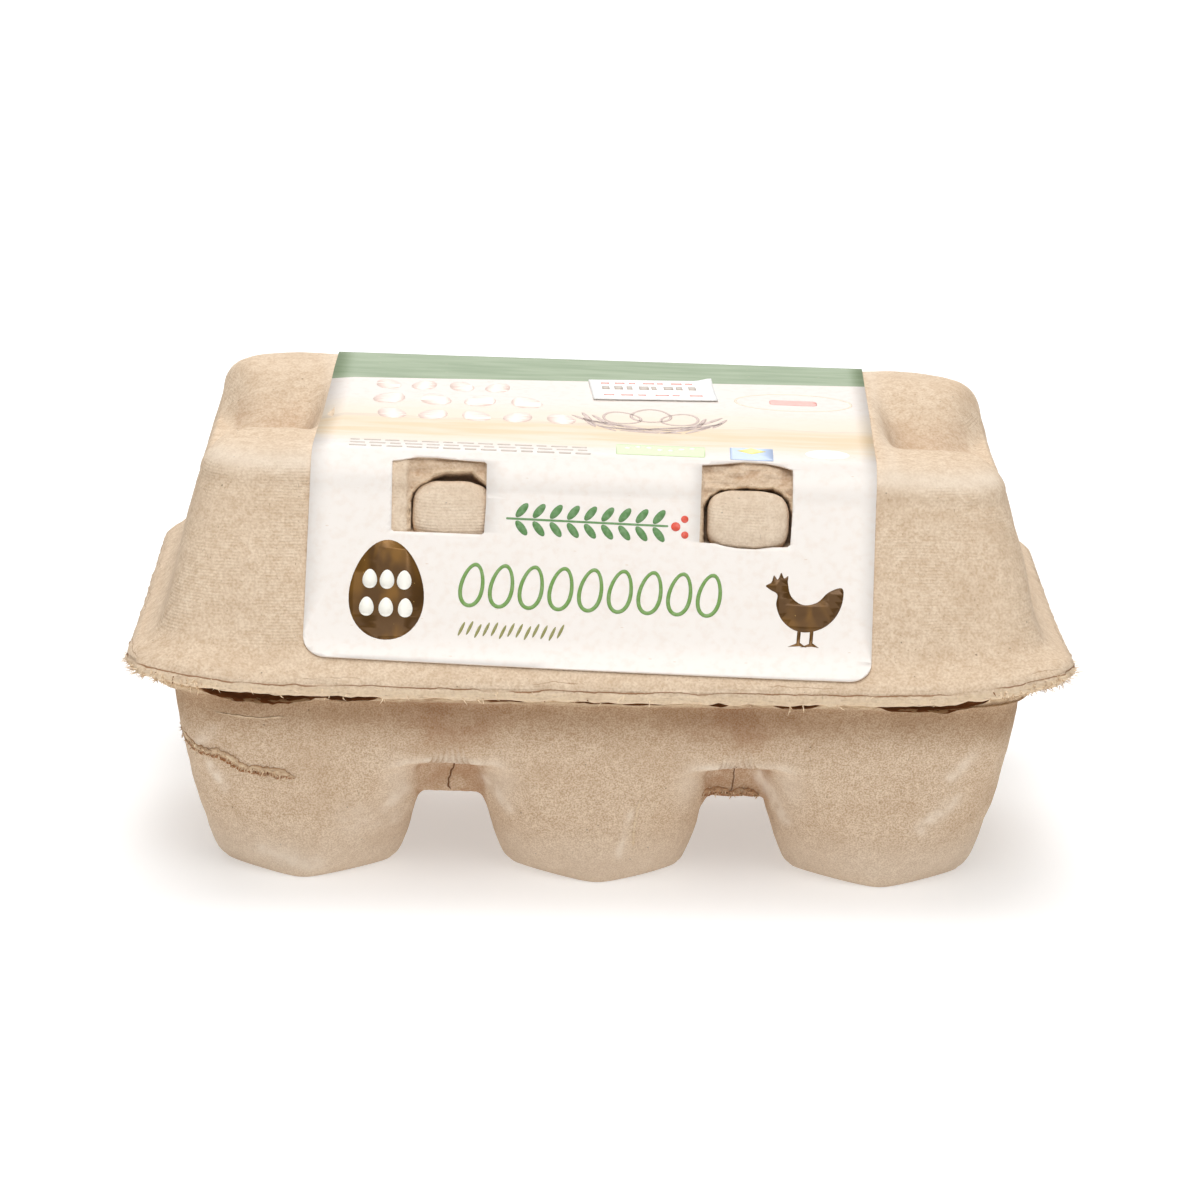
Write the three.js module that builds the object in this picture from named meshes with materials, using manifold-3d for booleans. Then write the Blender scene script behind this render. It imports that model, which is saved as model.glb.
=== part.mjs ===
// A shut moulded-pulp carton for six eggs, in millimetres.
// +Z is up, the latches face -Y, and the origin is under the carton's middle, on the plane it rests on.
import * as THREE from "three";
import { mergeVertices } from "three/addons/utils/BufferGeometryUtils.js";
import Module from "manifold-3d";

const wasm = await Module();
wasm.setup();

// Driving dimensions of the whole
const LENGTH = 153;
const WIDTH = 104;
const HEIGHT = 71.5;
const SEAM_Z = 36.4; // the plane where tray and lid meet
const CLEARANCE = 0.15; // half of the gap between two pieces that touch
const SAG = 0.9; // how far the front of the seam hangs lower at mid length
const SAG_FROM_Y = 44; // distance from the middle plane where the seam starts to sag

// Cups of the tray: a diamond with round tips on the table that turns into a rounded square at the rim
const PITCH_X = 48.2;
const ROW_Y = 23.4; // from the middle to the centre of a row
const FOOT_HALF = { x: 15.9, y: 13.45 };
const WALL_HALF = { x: 22.12, y: 22.52 }; // half widths where a cup's wall ends under the flange
const WALL_TOP_Z = 32.8;
const DRAFT_X = { low: 0.281, high: 0.133, rounding: 2 }; // widening along X per height, low down and high up
const FOOT_POWER = 1.083; // superellipse power of a cup's section at the table, and from SQUARE_Z up
const RIM_POWER = 4.6;
const SQUARE_Z = 25.7;
const TIP_ROUNDING = { front: 2.02, side: 1.53 }; // of the diamond's four tips
const FOOT_ROUNDING = 1.57;

// Bridge between two cups, which ends in a steep panel under the roof of a niche; its points lie at
// these shares of the way out
const BRIDGE_Z = 14.2;
const BRIDGE_HALF = 9.3;
const BRIDGE_CORNER = 2;
const BRIDGE_ROUNDING = 6; // rounding between a bridge and the cups
const NICHE = { slope: 2.4, roofZ: 21.8, roofSlope: 0.16, corner: 3 };
const ARCH_ROUNDING = 1;
const BRIDGE_SHARES = { x: [0, 0.2, 0.42, 0.57, 0.936, 1], y: [0, 0.2, 0.413, 0.56, 0.872, 1] };

// How far the tray's walls stand to the right of where an even tray has them, as [x, shift]
const SKEW = [[-62, 1], [-44, 0], [8, 0], [24, -1.84], [48, -1.78], [68, -2.19]];
const HIGHEST = 60; // a cup's section is searched up to this height
const HEIGHT_STEPS = 26; // halvings in that search
const CELL = { perSide: 5, rings: 8, samples: 240 }; // points a side, rings out to it, samples on a spoke
const FLAT_Z = 0.02; // what lies lower counts as the flat foot
const RIM_DEPTH = 3; // the wall's last points lie within this height under its top

// Flange of the tray, as [distance out from the wall, height under the seam]
const FLANGE_PROFILE = [[0.7, 2.3], [2.2, 1.7], [3.5, 1.5], [3.8, 1], [3.7, 0.4], [3.2, 0]];

// Slits that stay open between tray and lid at the front, as [middle, half length, depth]
const SLITS = [[-55, 9.2, 1.05], [-40, 5, 0.9], [3.9, 11.8, 0.5], [31.2, 4, 0.7], [52.7, 8.4, 1.05]];
const SLIT_REACH = 7; // how far a slit reaches in from the lid's edge, and out past it
const SLIT_PAST = 2;
const FLANGE_INSET = 2.2; // from the lid's edge back to the tray's

// Lip of the lid, as [inset from the edge, corner radius, height over the seam]
const LIP_UNDERSIDE = { inset: 8, corner: 6 };
const LIP_RINGS = [[0.9, 11.5, 0], [0.1, 12, 0.6], [0, 12, 1.33], [0.3, 12, 1.9]];

// Walls of the lid, as rings of [half length, half width, corner radius, height]
const WALL_RINGS = [
  [LENGTH / 2 - 1.4, WIDTH / 2 - 1.3, 11, 39.4],
  [LENGTH / 2 - 3.1, WIDTH / 2 - 3.2, 10, 40.7],
  [LENGTH / 2 - 4.8, WIDTH / 2 - 5.2, 9, 42.7],
  [LENGTH / 2 - 6.0, WIDTH / 2 - 6.9, 8, 46],
  [LENGTH / 2 - 7.1, WIDTH / 2 - 8.6, 7.5, 50],
  [LENGTH / 2 - 8.5, WIDTH / 2 - 11.2, 8, 56.3],
  [LENGTH / 2 - 9.9, WIDTH / 2 - 13.5, 8.5, 61.8],
  [LENGTH / 2 - 11.1, WIDTH / 2 - 15.3, 9, 66.2],
];
const TOP_ROUNDING = 5.3; // where the walls turn over into the top
const TOP_STEPS = 4;
const TOP_RINGS = { count: 8, step: 2.2 }; // rings over the flat top, inward from its edge
const TOP_CORNER = { shrink: 0.35, least: 3 }; // how their corner radius falls per millimetre inward
const LOOP = { along: [0, 0.22, 0.44, 0.66, 0.88], arc: 5, across: 8 }; // points in a quarter of a ring

// Valleys in the two ends of the lid's top
const VALLEY_Z = 64.2;
const VALLEY_FLOOR_HALF = 6;
const VALLEY_SIDE_SLOPE = 0.62;
const VALLEY_INNER_X = 46.2; // where the valley's inner wall meets the top
const VALLEY_INNER_SLOPE = 1.9;
const VALLEY_ROUNDING = 2.6;
const VALLEY_BLEND = 4; // the walls are free of the valley below this much under its floor
const VALLEY_FLARE_FROM = 57;
const VALLEY_FLARE_LENGTH = 8;
const VALLEY_FLARE = 12;

// The shut lid sits a little askew
const LEAN = 1.1; // how much the lid's top is higher at its left end than at mid length
const BACK_RISE = 0.9; // how much it is higher at the back than over the middle
const BACK_FULLER = 2.6; // how much further out the top of the back wall stands than the front's
const CORNER_LIFT = { left: 1.3, right: 2.6 };
const CORNER_LIFT_FROM = 50;
const CORNER_LIFT_TOP_Z = 47;

// Latch windows and the two knobs in them
const LATCH_X = { left: -24.1, right: 23.4 };
const POCKET = { width: 14.6, bottom: 58.4, top: 70.9, depth: 1.5, topDepth: 2.4 };
const HOLE = { width: 13.8, bottom: 58.2, top: 68.4, radius: 3, depth: 11.5 };
const KNOB = { width: 12.3, height: 8.7, bottom: 59.3, thickness: 7.4, rounding: 3.4 };
const KNOB_FACETS = { around: 20, upward: 10 };
const KNOB_PROUD = { left: 0.1, right: 1.0 }; // how far each stands out of the lid's wall
const KNOB_TILT = 0.24; // how far the knob leans back per millimetre of height
const CUTTER_LENGTH = 40; // length of the blocks that cut windows and corners, ending well in front

// Paper label over the front, top and back of the lid
const LABEL = { width: 90.8, middleX: -2.4, turnDeg: 1.2, thickness: 0.3, gap: 0.12, corner: 3.6 };
const LABEL_FRONT_END = [49.8, 40.3]; // [distance from the middle plane, height] of the label's ends
const LABEL_BACK_END = [43.9, 49];
const LABEL_WALL_FROM_Z = 42;
const LABEL_COLUMNS = 8;
const LABEL_BEND_LEAST = 0.7; // keeps a sharp bend of the label from being stretched too far
const LABEL_CORNER = { steps: 6, past: 2, depth: 12 }; // facets, overlap past the edge, depth of the cut
const WINDOW = { width: 14.9, bottom: 58.9, top: 70.7, leftX: -26.6, rightX: 22.8, radius: 0.6, depth: 12 };

// Small date sticker on top of the label
const STICKER = { width: 21, depth: 12, x: 8.4, y: 11.2, turnDeg: 4, thickness: 0.25, gap: 0.15 };
const STICKER_FACETS = { columns: 4, rows: 2 };

// Rolled fold at the back, where tray and lid are one sheet of pulp
const HINGE = { length: 112, height: 4.6, depth: 1.7, steps: 8, lengths: 12 };
const HINGE_ROOM = 2.1; // how far the lid's lip keeps back from its own edge along the fold
const HINGE_ENDS = 8; // length over which the lip comes out again beside the fold

const pulp = new THREE.MeshStandardMaterial({ color: 0xcdb292, roughness: 0.95, metalness: 0 });
const pulpLid = new THREE.MeshStandardMaterial({ color: 0xd8bd99, roughness: 0.95, metalness: 0 });
const paper = new THREE.MeshStandardMaterial({ color: 0xf6efe6, roughness: 0.7, metalness: 0 });
const sticker = new THREE.MeshStandardMaterial({ color: 0xfbfbf8, roughness: 0.6, metalness: 0 });

// Largest and smallest of two heights with the edge between them rounded off
function smoothMax(a, b, rounding) {
  const h = Math.max(rounding - Math.abs(a - b), 0) / rounding;
  return Math.max(a, b) + (h * h * rounding) / 4;
}

function smoothMin(a, b, rounding) {
  return -smoothMax(-a, -b, rounding);
}

function smoothStep(from, to, value) {
  const t = THREE.MathUtils.clamp((value - from) / (to - from), 0, 1);
  return t * t * (3 - 2 * t);
}

// A closed indexed mesh from points and triangles
function geometryFrom(points, triangles) {
  const geometry = new THREE.BufferGeometry();
  const flat = points.flatMap((p) => [p.x, p.y, p.z]);
  geometry.setAttribute("position", new THREE.Float32BufferAttribute(flat, 3));
  geometry.setIndex(triangles.flat());
  return geometry;
}

function solidFrom(geometry) {
  const bare = geometry.clone();
  bare.deleteAttribute("normal");
  bare.deleteAttribute("uv");
  const merged = mergeVertices(bare, 1e-4);
  return new wasm.Manifold(
    new wasm.Mesh({
      numProp: 3,
      vertProperties: merged.attributes.position.array,
      triVerts: new Uint32Array(merged.index.array),
    }),
  );
}

function geometryOf(solid) {
  const mesh = solid.getMesh();
  const geometry = new THREE.BufferGeometry();
  geometry.setAttribute("position", new THREE.Float32BufferAttribute(mesh.vertProperties, 3));
  geometry.setIndex(new THREE.Uint32BufferAttribute(mesh.triVerts, 1));
  geometry.computeVertexNormals();
  return geometry;
}

function subtractAll(body, cutters) {
  return geometryOf(cutters.reduce((left, cutter) => left.subtract(solidFrom(cutter)), solidFrom(body)));
}

// A polygon cap over a loop of points that share one height
function capTriangles(points, loop, facesUp) {
  const contour = loop.map((i) => new THREE.Vector2(points[i].x, points[i].y));
  const faces = THREE.ShapeUtils.triangulateShape(contour, []);
  const turned = THREE.ShapeUtils.isClockWise(contour) === facesUp;
  return faces.map(([a, b, c]) => (turned ? [loop[a], loop[c], loop[b]] : [loop[a], loop[b], loop[c]]));
}

// Quads between two closed loops of the same count; the faces look out when the second loop lies further on
function bandTriangles(first, second) {
  const made = [];
  for (let i = 0; i < first.length; i++) {
    const j = (i + 1) % first.length;
    made.push([first[i], first[j], second[j]], [first[i], second[j], second[i]]);
  }
  return made;
}

// Half the length of a cup's section along X at a height
function cupHalfX(z) {
  const { low, high, rounding } = DRAFT_X;
  return smoothMin(FOOT_HALF.x + low * z, WALL_HALF.x - high * (WALL_TOP_Z - z), rounding);
}

// Height at which a cup's section, which widens upwards, first takes in a point at (dx, dy) from its centre
function cupHeight(dx, dy, tips = { front: 0, side: 0 }) {
  let low = -FOOT_ROUNDING * 2;
  let high = HIGHEST;
  const roundX = Math.hypot(dx, tips.front);
  const roundY = Math.hypot(dy, tips.side);
  for (let i = 0; i < HEIGHT_STEPS; i++) {
    const z = (low + high) / 2;
    const halfY = FOOT_HALF.y + ((WALL_HALF.y - FOOT_HALF.y) * z) / WALL_TOP_Z;
    const power = FOOT_POWER + (RIM_POWER - FOOT_POWER) * THREE.MathUtils.clamp(z / SQUARE_Z, 0, 1);
    const shareX = Math.pow(roundX / cupHalfX(z), power);
    const shareY = Math.pow(roundY / halfY, power);
    if (shareX + shareY > 1) low = z;
    else high = z;
  }
  return high;
}

// Height of a bridge's underside at a distance from its middle
function bridgeHeight(distance) {
  const panel = BRIDGE_Z + NICHE.slope * (distance - BRIDGE_HALF);
  const roof = NICHE.roofZ + NICHE.roofSlope * (distance - BRIDGE_HALF);
  return smoothMax(smoothMin(panel, roof, NICHE.corner), BRIDGE_Z, BRIDGE_CORNER);
}

// Height of the tray's outside under the point (x, y)
function trayUnderside(x, y) {
  const column = THREE.MathUtils.clamp(Math.round(x / PITCH_X), -1, 1);
  const dx = Math.abs(x - column * PITCH_X);
  const dy = Math.abs(Math.abs(y) - ROW_Y);
  const cup = smoothMax(cupHeight(dx, dy, TIP_ROUNDING), 0, FOOT_ROUNDING);
  const inRow = smoothMin(cup, bridgeHeight(dy), BRIDGE_ROUNDING);
  const lowest = smoothMin(inRow, bridgeHeight(dx), BRIDGE_ROUNDING);
  const outX = Math.max(Math.abs(x) - PITCH_X, 0);
  const outY = Math.max(Math.abs(y) - ROW_Y, 0);
  return smoothMax(lowest, cupHeight(outX, outY), ARCH_ROUNDING);
}

// How far the tray's wall is out of its even place at x
function skewAt(x) {
  const next = SKEW.findIndex(([at]) => x < at);
  if (next === 0) return SKEW[0][1];
  if (next < 0) return SKEW.at(-1)[1];
  const [fromX, fromShift] = SKEW[next - 1];
  const [toX, toShift] = SKEW[next];
  return THREE.MathUtils.mapLinear(x, fromX, toX, fromShift, toShift);
}

// How far a point lies out from a cup's centre, as a share of the wall's half width
function wallShare(outX, outY) {
  const sum = Math.pow(outX / WALL_HALF.x, RIM_POWER) + Math.pow(outY / WALL_HALF.y, RIM_POWER);
  return Math.pow(sum, 1 / RIM_POWER);
}

// Outline points of one quarter of a cup's cell, from its x side round to its y side
function quarterOutline(outerX, outerY) {
  const perSide = CELL.perSide;
  const limitX = outerX ? WALL_HALF.x : PITCH_X / 2;
  const limitY = outerY ? WALL_HALF.y : ROW_Y;
  const even = Array.from({ length: perSide + 1 }, (_, k) => k / perSide);
  const upSide = outerY && !outerX ? BRIDGE_SHARES.y : even;
  const backSide = outerX && !outerY ? BRIDGE_SHARES.x : even;
  const outline = [
    ...upSide.map((share) => new THREE.Vector2(limitX, limitY * share)),
    ...backSide.toReversed().slice(1).map((share) => new THREE.Vector2(limitX * share, limitY)),
  ];
  if (outerX && outerY) outline.forEach((p) => p.divideScalar(wallShare(p.x, p.y)));
  return outline;
}

// Where one spoke of a cell gets its points, as shares of its length: half way over the flat foot, then
// evenly along the surface
function spokeStops(centre, end) {
  const { rings, samples } = CELL;
  const path = [0];
  let last = trayUnderside(centre.x, centre.y);
  let flatEnd = 0;
  for (let i = 1; i <= samples; i++) {
    const p = centre.clone().lerp(end, i / samples);
    const z = trayUnderside(p.x, p.y);
    path.push(path[i - 1] + Math.hypot(centre.distanceTo(end) / samples, z - last));
    if (z <= FLAT_Z) flatEnd = i;
    last = z;
  }
  const stops = [flatEnd / samples / 2];
  for (let r = 0; r <= rings; r++) {
    const wanted = path[flatEnd] + ((path[samples] - path[flatEnd]) * r) / rings;
    const i = Math.max(1, path.findIndex((d) => d >= wanted - 1e-9));
    const share = (wanted - path[i - 1]) / (path[i] - path[i - 1]);
    stops.push(r === rings ? 1 : (i - 1 + share) / samples);
  }
  return stops;
}

// One cup's cell of the underside, as points and triangles that face down
function cupCell(column, row) {
  const centre = new THREE.Vector2(column * PITCH_X, row * ROW_Y);
  const spokes = [];
  for (const [sx, sy] of [[1, 1], [-1, 1], [-1, -1], [1, -1]]) {
    const outline = quarterOutline(sx === column, sy === row);
    const ordered = sx * sy > 0 ? outline : outline.reverse();
    for (const p of ordered.slice(0, -1))
      spokes.push(new THREE.Vector2(centre.x + sx * p.x, centre.y + sy * p.y));
  }
  const points = [new THREE.Vector3(centre.x, centre.y, 0)];
  const loops = Array.from({ length: CELL.rings + 2 }, () => []);
  for (const end of spokes) {
    spokeStops(centre, end).forEach((stop, r) => {
      const p = centre.clone().lerp(end, stop);
      loops[r].push(points.length);
      points.push(new THREE.Vector3(p.x, p.y, trayUnderside(p.x, p.y)));
    });
  }
  const triangles = loops[0].map((a, i) => [0, loops[0][(i + 1) % loops[0].length], a]);
  for (let r = 0; r < loops.length - 1; r++) triangles.push(...bandTriangles(loops[r], loops[r + 1]));
  return { points, triangles };
}

function onTrayWall(p) {
  const outX = Math.max(Math.abs(p.x) - PITCH_X, 0);
  const outY = Math.max(Math.abs(p.y) - ROW_Y, 0);
  return Math.abs(wallShare(outX, outY) - 1) < 1e-4;
}

// How far the seam hangs below its plane at a point
function seamSag(x, y) {
  const alongFront = 1 - Math.pow(x / (LENGTH / 2), 2);
  return SAG * alongFront * THREE.MathUtils.clamp((-y - SAG_FROM_Y) / (WIDTH / 2 - SAG_FROM_Y), 0, 1);
}

// The rim point moved straight out from the tray's wall
function outFromTray(p, distance, z) {
  const core = new THREE.Vector2(
    THREE.MathUtils.clamp(p.x, -PITCH_X, PITCH_X),
    THREE.MathUtils.clamp(p.y, -ROW_Y, ROW_Y),
  );
  const out = new THREE.Vector2(p.x, p.y).sub(core).normalize().multiplyScalar(distance);
  const moved = new THREE.Vector3(p.x + out.x, p.y + out.y, z);
  moved.z -= seamSag(moved.x, moved.y);
  return moved;
}

// A thin lens-shaped block that opens the seam at the front
function slitCutter([middle, half, depth]) {
  const seam = SEAM_Z - CLEARANCE - seamSag(middle, -WIDTH / 2 + FLANGE_INSET);
  const lens = new THREE.Shape();
  lens.moveTo(-half, seam + SAG);
  lens.lineTo(-half, seam);
  lens.quadraticCurveTo(0, seam - 2 * depth, half, seam);
  lens.lineTo(half, seam + SAG);
  const reach = SLIT_REACH + SLIT_PAST;
  const block = new THREE.ExtrudeGeometry(lens, { depth: reach, bevelEnabled: false, curveSegments: 6 });
  block.rotateX(Math.PI / 2);
  block.translate(middle, -WIDTH / 2 + SLIT_REACH, 0);
  return block;
}

function buildTray() {
  const points = [];
  const triangles = [];
  for (const row of [-1, 1])
    for (const column of [-1, 0, 1]) {
      const cell = cupCell(column, row);
      triangles.push(...cell.triangles.map((t) => t.map((i) => i + points.length)));
      points.push(...cell.points);
    }
  const rim = [];
  points.forEach((p, i) => {
    const atTop = p.z > WALL_TOP_Z - RIM_DEPTH && onTrayWall(p);
    if (atTop && !rim.some((j) => points[j].distanceTo(p) < 1e-4)) rim.push(i);
  });
  rim.sort((a, b) => Math.atan2(points[a].y, points[a].x) - Math.atan2(points[b].y, points[b].x));
  let loop = rim;
  for (const [out, under] of FLANGE_PROFILE) {
    const next = loop.map((_, i) => points.length + i);
    rim.forEach((i) => points.push(outFromTray(points[i], out, SEAM_Z - CLEARANCE - under)));
    triangles.push(...bandTriangles(loop, next));
    loop = next;
  }
  const inner = loop.map((_, i) => points.length + i);
  const inward = SAG_FROM_Y - ROW_Y - WALL_HALF.y;
  rim.forEach((i) => points.push(outFromTray(points[i], inward, SEAM_Z - CLEARANCE)));
  triangles.push(...bandTriangles(loop, inner), ...capTriangles(points, inner, true));
  points.forEach((p) => (p.x += skewAt(p.x)));
  return subtractAll(geometryFrom(points, triangles), SLITS.map(slitCutter));
}

// Points of a rounded rectangle, the same count for every size
function roundedLoop(halfX, halfY, radius) {
  const { along, arc, across } = LOOP;
  const quarter = along.map((share) => [(halfX - radius) * share, halfY]);
  for (let i = 0; i < arc; i++) {
    const angle = (Math.PI / 2) * (1 - i / arc);
    quarter.push([halfX - radius + radius * Math.cos(angle), halfY - radius + radius * Math.sin(angle)]);
  }
  for (let i = 0; i <= across; i++) quarter.push([halfX, (halfY - radius) * (1 - i / across)]);
  const topRight = quarter;
  const bottomRight = quarter.slice(0, -1).reverse().map(([x, y]) => [x, -y]);
  const right = [...topRight, ...bottomRight];
  const left = right.slice(1, -1).reverse().map(([x, y]) => [-x, y]);
  return [...right, ...left].reverse();
}

// Height of the valley in an end of the lid's top, above which the lid has no material
function valleyHeight(x, y) {
  const flared = Math.max(Math.abs(x) - VALLEY_FLARE_FROM, 0) / VALLEY_FLARE_LENGTH;
  const flare = VALLEY_FLARE * flared * flared;
  const side = VALLEY_Z + VALLEY_SIDE_SLOPE * (Math.abs(y) - VALLEY_FLOOR_HALF - flare);
  const inner = HEIGHT - VALLEY_INNER_SLOPE * (Math.abs(x) - VALLEY_INNER_X);
  return smoothMax(smoothMax(side, inner, VALLEY_ROUNDING * 2), VALLEY_Z, VALLEY_ROUNDING);
}

// The lid as it really sits when shut: leaning down to the right, its lip curled up at the front corners
function asShut(p) {
  const raised = THREE.MathUtils.clamp((p.z - SEAM_Z) / (HEIGHT - SEAM_Z), 0, 1);
  const lean = ((-LEAN * p.x) / (LENGTH / 2) + (BACK_RISE * p.y) / (WIDTH / 2)) * raised;
  const back = BACK_FULLER * raised * smoothStep(0, WIDTH / 4, p.y);
  const lift = p.x < 0 ? CORNER_LIFT.left : CORNER_LIFT.right;
  const atCorner = smoothStep(CORNER_LIFT_FROM, LENGTH / 2, Math.abs(p.x)) * smoothStep(0, WIDTH / 2, -p.y);
  const nearLip = 1 - smoothStep(SEAM_Z + 2, CORNER_LIFT_TOP_Z, p.z);
  const lip = (lift * atCorner - seamSag(p.x, p.y)) * nearLip;
  const besideFold = smoothStep(HINGE.length / 2, HINGE.length / 2 + HINGE_ENDS, Math.abs(p.x));
  const room = HINGE_ROOM * (1 - besideFold) * smoothStep(WIDTH / 3, WIDTH / 2, p.y) * nearLip;
  return new THREE.Vector3(p.x, p.y + back - room, p.z + lean + lip);
}

// Rings of the lid's outside from the lip's underside to the edge of the flat top
function lidRings() {
  const [halfX, halfY, radius, z] = WALL_RINGS[WALL_RINGS.length - 1];
  const under = LIP_RINGS.map(([inset, corner, up]) =>
    [LENGTH / 2 - inset, WIDTH / 2 - inset, corner, SEAM_Z + CLEARANCE + up]);
  const over = [];
  for (let i = 1; i <= TOP_STEPS; i++) {
    const angle = (Math.PI / 2) * (i / TOP_STEPS);
    const inward = TOP_ROUNDING * (1 - Math.cos(angle));
    const up = (HEIGHT - z) * Math.sin(angle);
    over.push([halfX - inward, halfY - inward, radius, z + up]);
  }
  const [topX, topY] = over[over.length - 1];
  const top = Array.from({ length: TOP_RINGS.count }, (_, i) => {
    const inward = (i + 1) * TOP_RINGS.step;
    const corner = Math.max(radius - inward * TOP_CORNER.shrink, TOP_CORNER.least);
    return [topX - inward, topY - inward, corner, HEIGHT];
  });
  return [...under, ...WALL_RINGS, ...over, ...top];
}

// A rounded rectangle in the lid's front wall, pushed straight in from the front
function windowCutter({ width, bottom, top, radius, depth }, x) {
  const outline = new THREE.Shape();
  const [left, right] = [-width / 2, width / 2];
  outline.moveTo(left, bottom);
  outline.lineTo(right, bottom);
  outline.lineTo(right, top - radius);
  outline.absarc(right - radius, top - radius, radius, 0, Math.PI / 2);
  outline.absarc(left + radius, top - radius, radius, Math.PI / 2, Math.PI);
  const settings = { depth: CUTTER_LENGTH, bevelEnabled: false, curveSegments: 5 };
  const block = new THREE.ExtrudeGeometry(outline, settings);
  block.rotateX(Math.PI / 2);
  block.translate(x, frontWallY(bottom) + depth, 0);
  return block;
}

// How far the lid's front wall stands from the middle plane at a height
function frontWallY(z) {
  const rings = lidRings().filter((ring) => ring[3] >= WALL_RINGS[0][3]);
  const above = rings.findIndex((ring) => ring[3] >= z);
  const [, y0, , z0] = rings[above - 1];
  const [, y1, , z1] = rings[above];
  return -(y0 + ((y1 - y0) * (z - z0)) / (z1 - z0));
}

// The recess round a latch window follows the slope of the wall
function pocketCutter(x) {
  const { width, bottom, top, depth, topDepth } = POCKET;
  const section = new THREE.Shape();
  section.moveTo(frontWallY(bottom) + depth, bottom);
  section.lineTo(frontWallY(top) + topDepth, top);
  section.lineTo(-WIDTH, top);
  section.lineTo(-WIDTH, bottom);
  const block = new THREE.ExtrudeGeometry(section, { depth: width, bevelEnabled: false });
  block.applyMatrix4(new THREE.Matrix4().makeBasis(
    new THREE.Vector3(0, 1, 0), new THREE.Vector3(0, 0, 1), new THREE.Vector3(1, 0, 0),
  ));
  block.translate(x - width / 2, 0, 0);
  return block;
}

function buildLid() {
  const rings = lidRings();
  const points = [];
  const loops = [];
  const addLoop = (ring, shape) => {
    loops.push(ring.map((_, i) => points.length + i));
    ring.forEach(([x, y]) => points.push(asShut(shape(x, y))));
  };
  const { inset, corner } = LIP_UNDERSIDE;
  const underside = roundedLoop(LENGTH / 2 - inset, WIDTH / 2 - inset, corner);
  addLoop(underside, (x, y) => new THREE.Vector3(x, y, SEAM_Z + CLEARANCE));
  for (const [halfX, halfY, radius, z] of rings)
    addLoop(roundedLoop(halfX, halfY, radius), (x, y) => {
      const free = valleyHeight(x, y);
      return new THREE.Vector3(x, y, z > VALLEY_Z - VALLEY_BLEND ? smoothMin(z, free, VALLEY_ROUNDING) : z);
    });
  const triangles = capTriangles(points, loops[0], false);
  for (let i = 0; i < loops.length - 1; i++) triangles.push(...bandTriangles(loops[i], loops[i + 1]));
  triangles.push(...capTriangles(points, loops[loops.length - 1], true));
  const cutters = Object.values(LATCH_X).flatMap((x) => [pocketCutter(x), windowCutter(HOLE, x)]);
  return subtractAll(geometryFrom(points, triangles), cutters);
}

// A knob of the locking flap: a block with every edge rounded, leaning like the wall it stands in
function buildKnob(side) {
  const x = LATCH_X[side];
  const rounding = KNOB.rounding;
  const [halfX, halfY, halfZ] = [KNOB.width / 2, KNOB.thickness / 2, KNOB.height / 2];
  const flat = { x: halfX - rounding, y: halfY - rounding, z: halfZ - rounding };
  const knob = new THREE.SphereGeometry(rounding, KNOB_FACETS.around, KNOB_FACETS.upward);
  const at = knob.getAttribute("position");
  const middleZ = KNOB.bottom + KNOB.height / 2;
  const frontY = frontWallY(middleZ) - KNOB_PROUD[side];
  for (let i = 0; i < at.count; i++) {
    const moved = ["x", "y", "z"].map((axis, k) => {
      const value = at.getComponent(i, k);
      return value + Math.sign(Math.abs(value) < 1e-6 ? 0 : value) * flat[axis];
    });
    const z = middleZ + moved[2];
    const tilt = KNOB_TILT * moved[2];
    const free = asShut(new THREE.Vector3(x + moved[0], frontY + halfY + moved[1] + tilt, z));
    at.setXYZ(i, free.x, free.y, free.z);
  }
  return geometryOf(solidFrom(knob));
}

// Section of the lid across its middle from the front lip over the top to the back, for the label at x
function labelSection(x) {
  const wall = lidRings().filter((ring) => ring[3] >= LABEL_WALL_FROM_Z);
  const edge = wall.findIndex((ring) => ring[3] >= HEIGHT - 1e-6);
  const half = wall.slice(0, edge + 1).map(([, y, , z]) => [y, z]);
  const front = half.map(([y, z]) => new THREE.Vector2(-y, z));
  const behind = half.filter(([, z]) => z > LABEL_BACK_END[1]).reverse();
  const back = behind.map(([y, z]) => new THREE.Vector2(y, z));
  const start = new THREE.Vector2(-LABEL_FRONT_END[0], LABEL_FRONT_END[1]);
  const slide = -x * Math.tan(THREE.MathUtils.degToRad(LABEL.turnDeg));
  start.addScaledVector(front[0].clone().sub(start).normalize(), slide);
  return [start, ...front, ...back, new THREE.Vector2(...LABEL_BACK_END)];
}

// Offsets a section line to its outer side
function offsetSection(section, distance) {
  return section.map((p, i) => {
    const before = section[Math.max(i - 1, 0)];
    const after = section[Math.min(i + 1, section.length - 1)];
    const toBefore = p.clone().sub(before).normalize();
    const toAfter = after.clone().sub(p).normalize();
    const along = toBefore.clone().add(toAfter).normalize();
    const single = i === 0 ? toAfter : toBefore;
    const stretch = 1 / Math.max(Math.abs(along.dot(single)), LABEL_BEND_LEAST);
    return new THREE.Vector2(p.x - along.y * distance * stretch, p.y + along.x * distance * stretch);
  });
}

// Where a label vertex at a distance along the label's path goes, the label being stuck on a little turned
function onLabel(across, along, p) {
  const shift = along * Math.tan(THREE.MathUtils.degToRad(LABEL.turnDeg));
  return asShut(new THREE.Vector3(across + shift, p.x, p.y));
}

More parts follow.
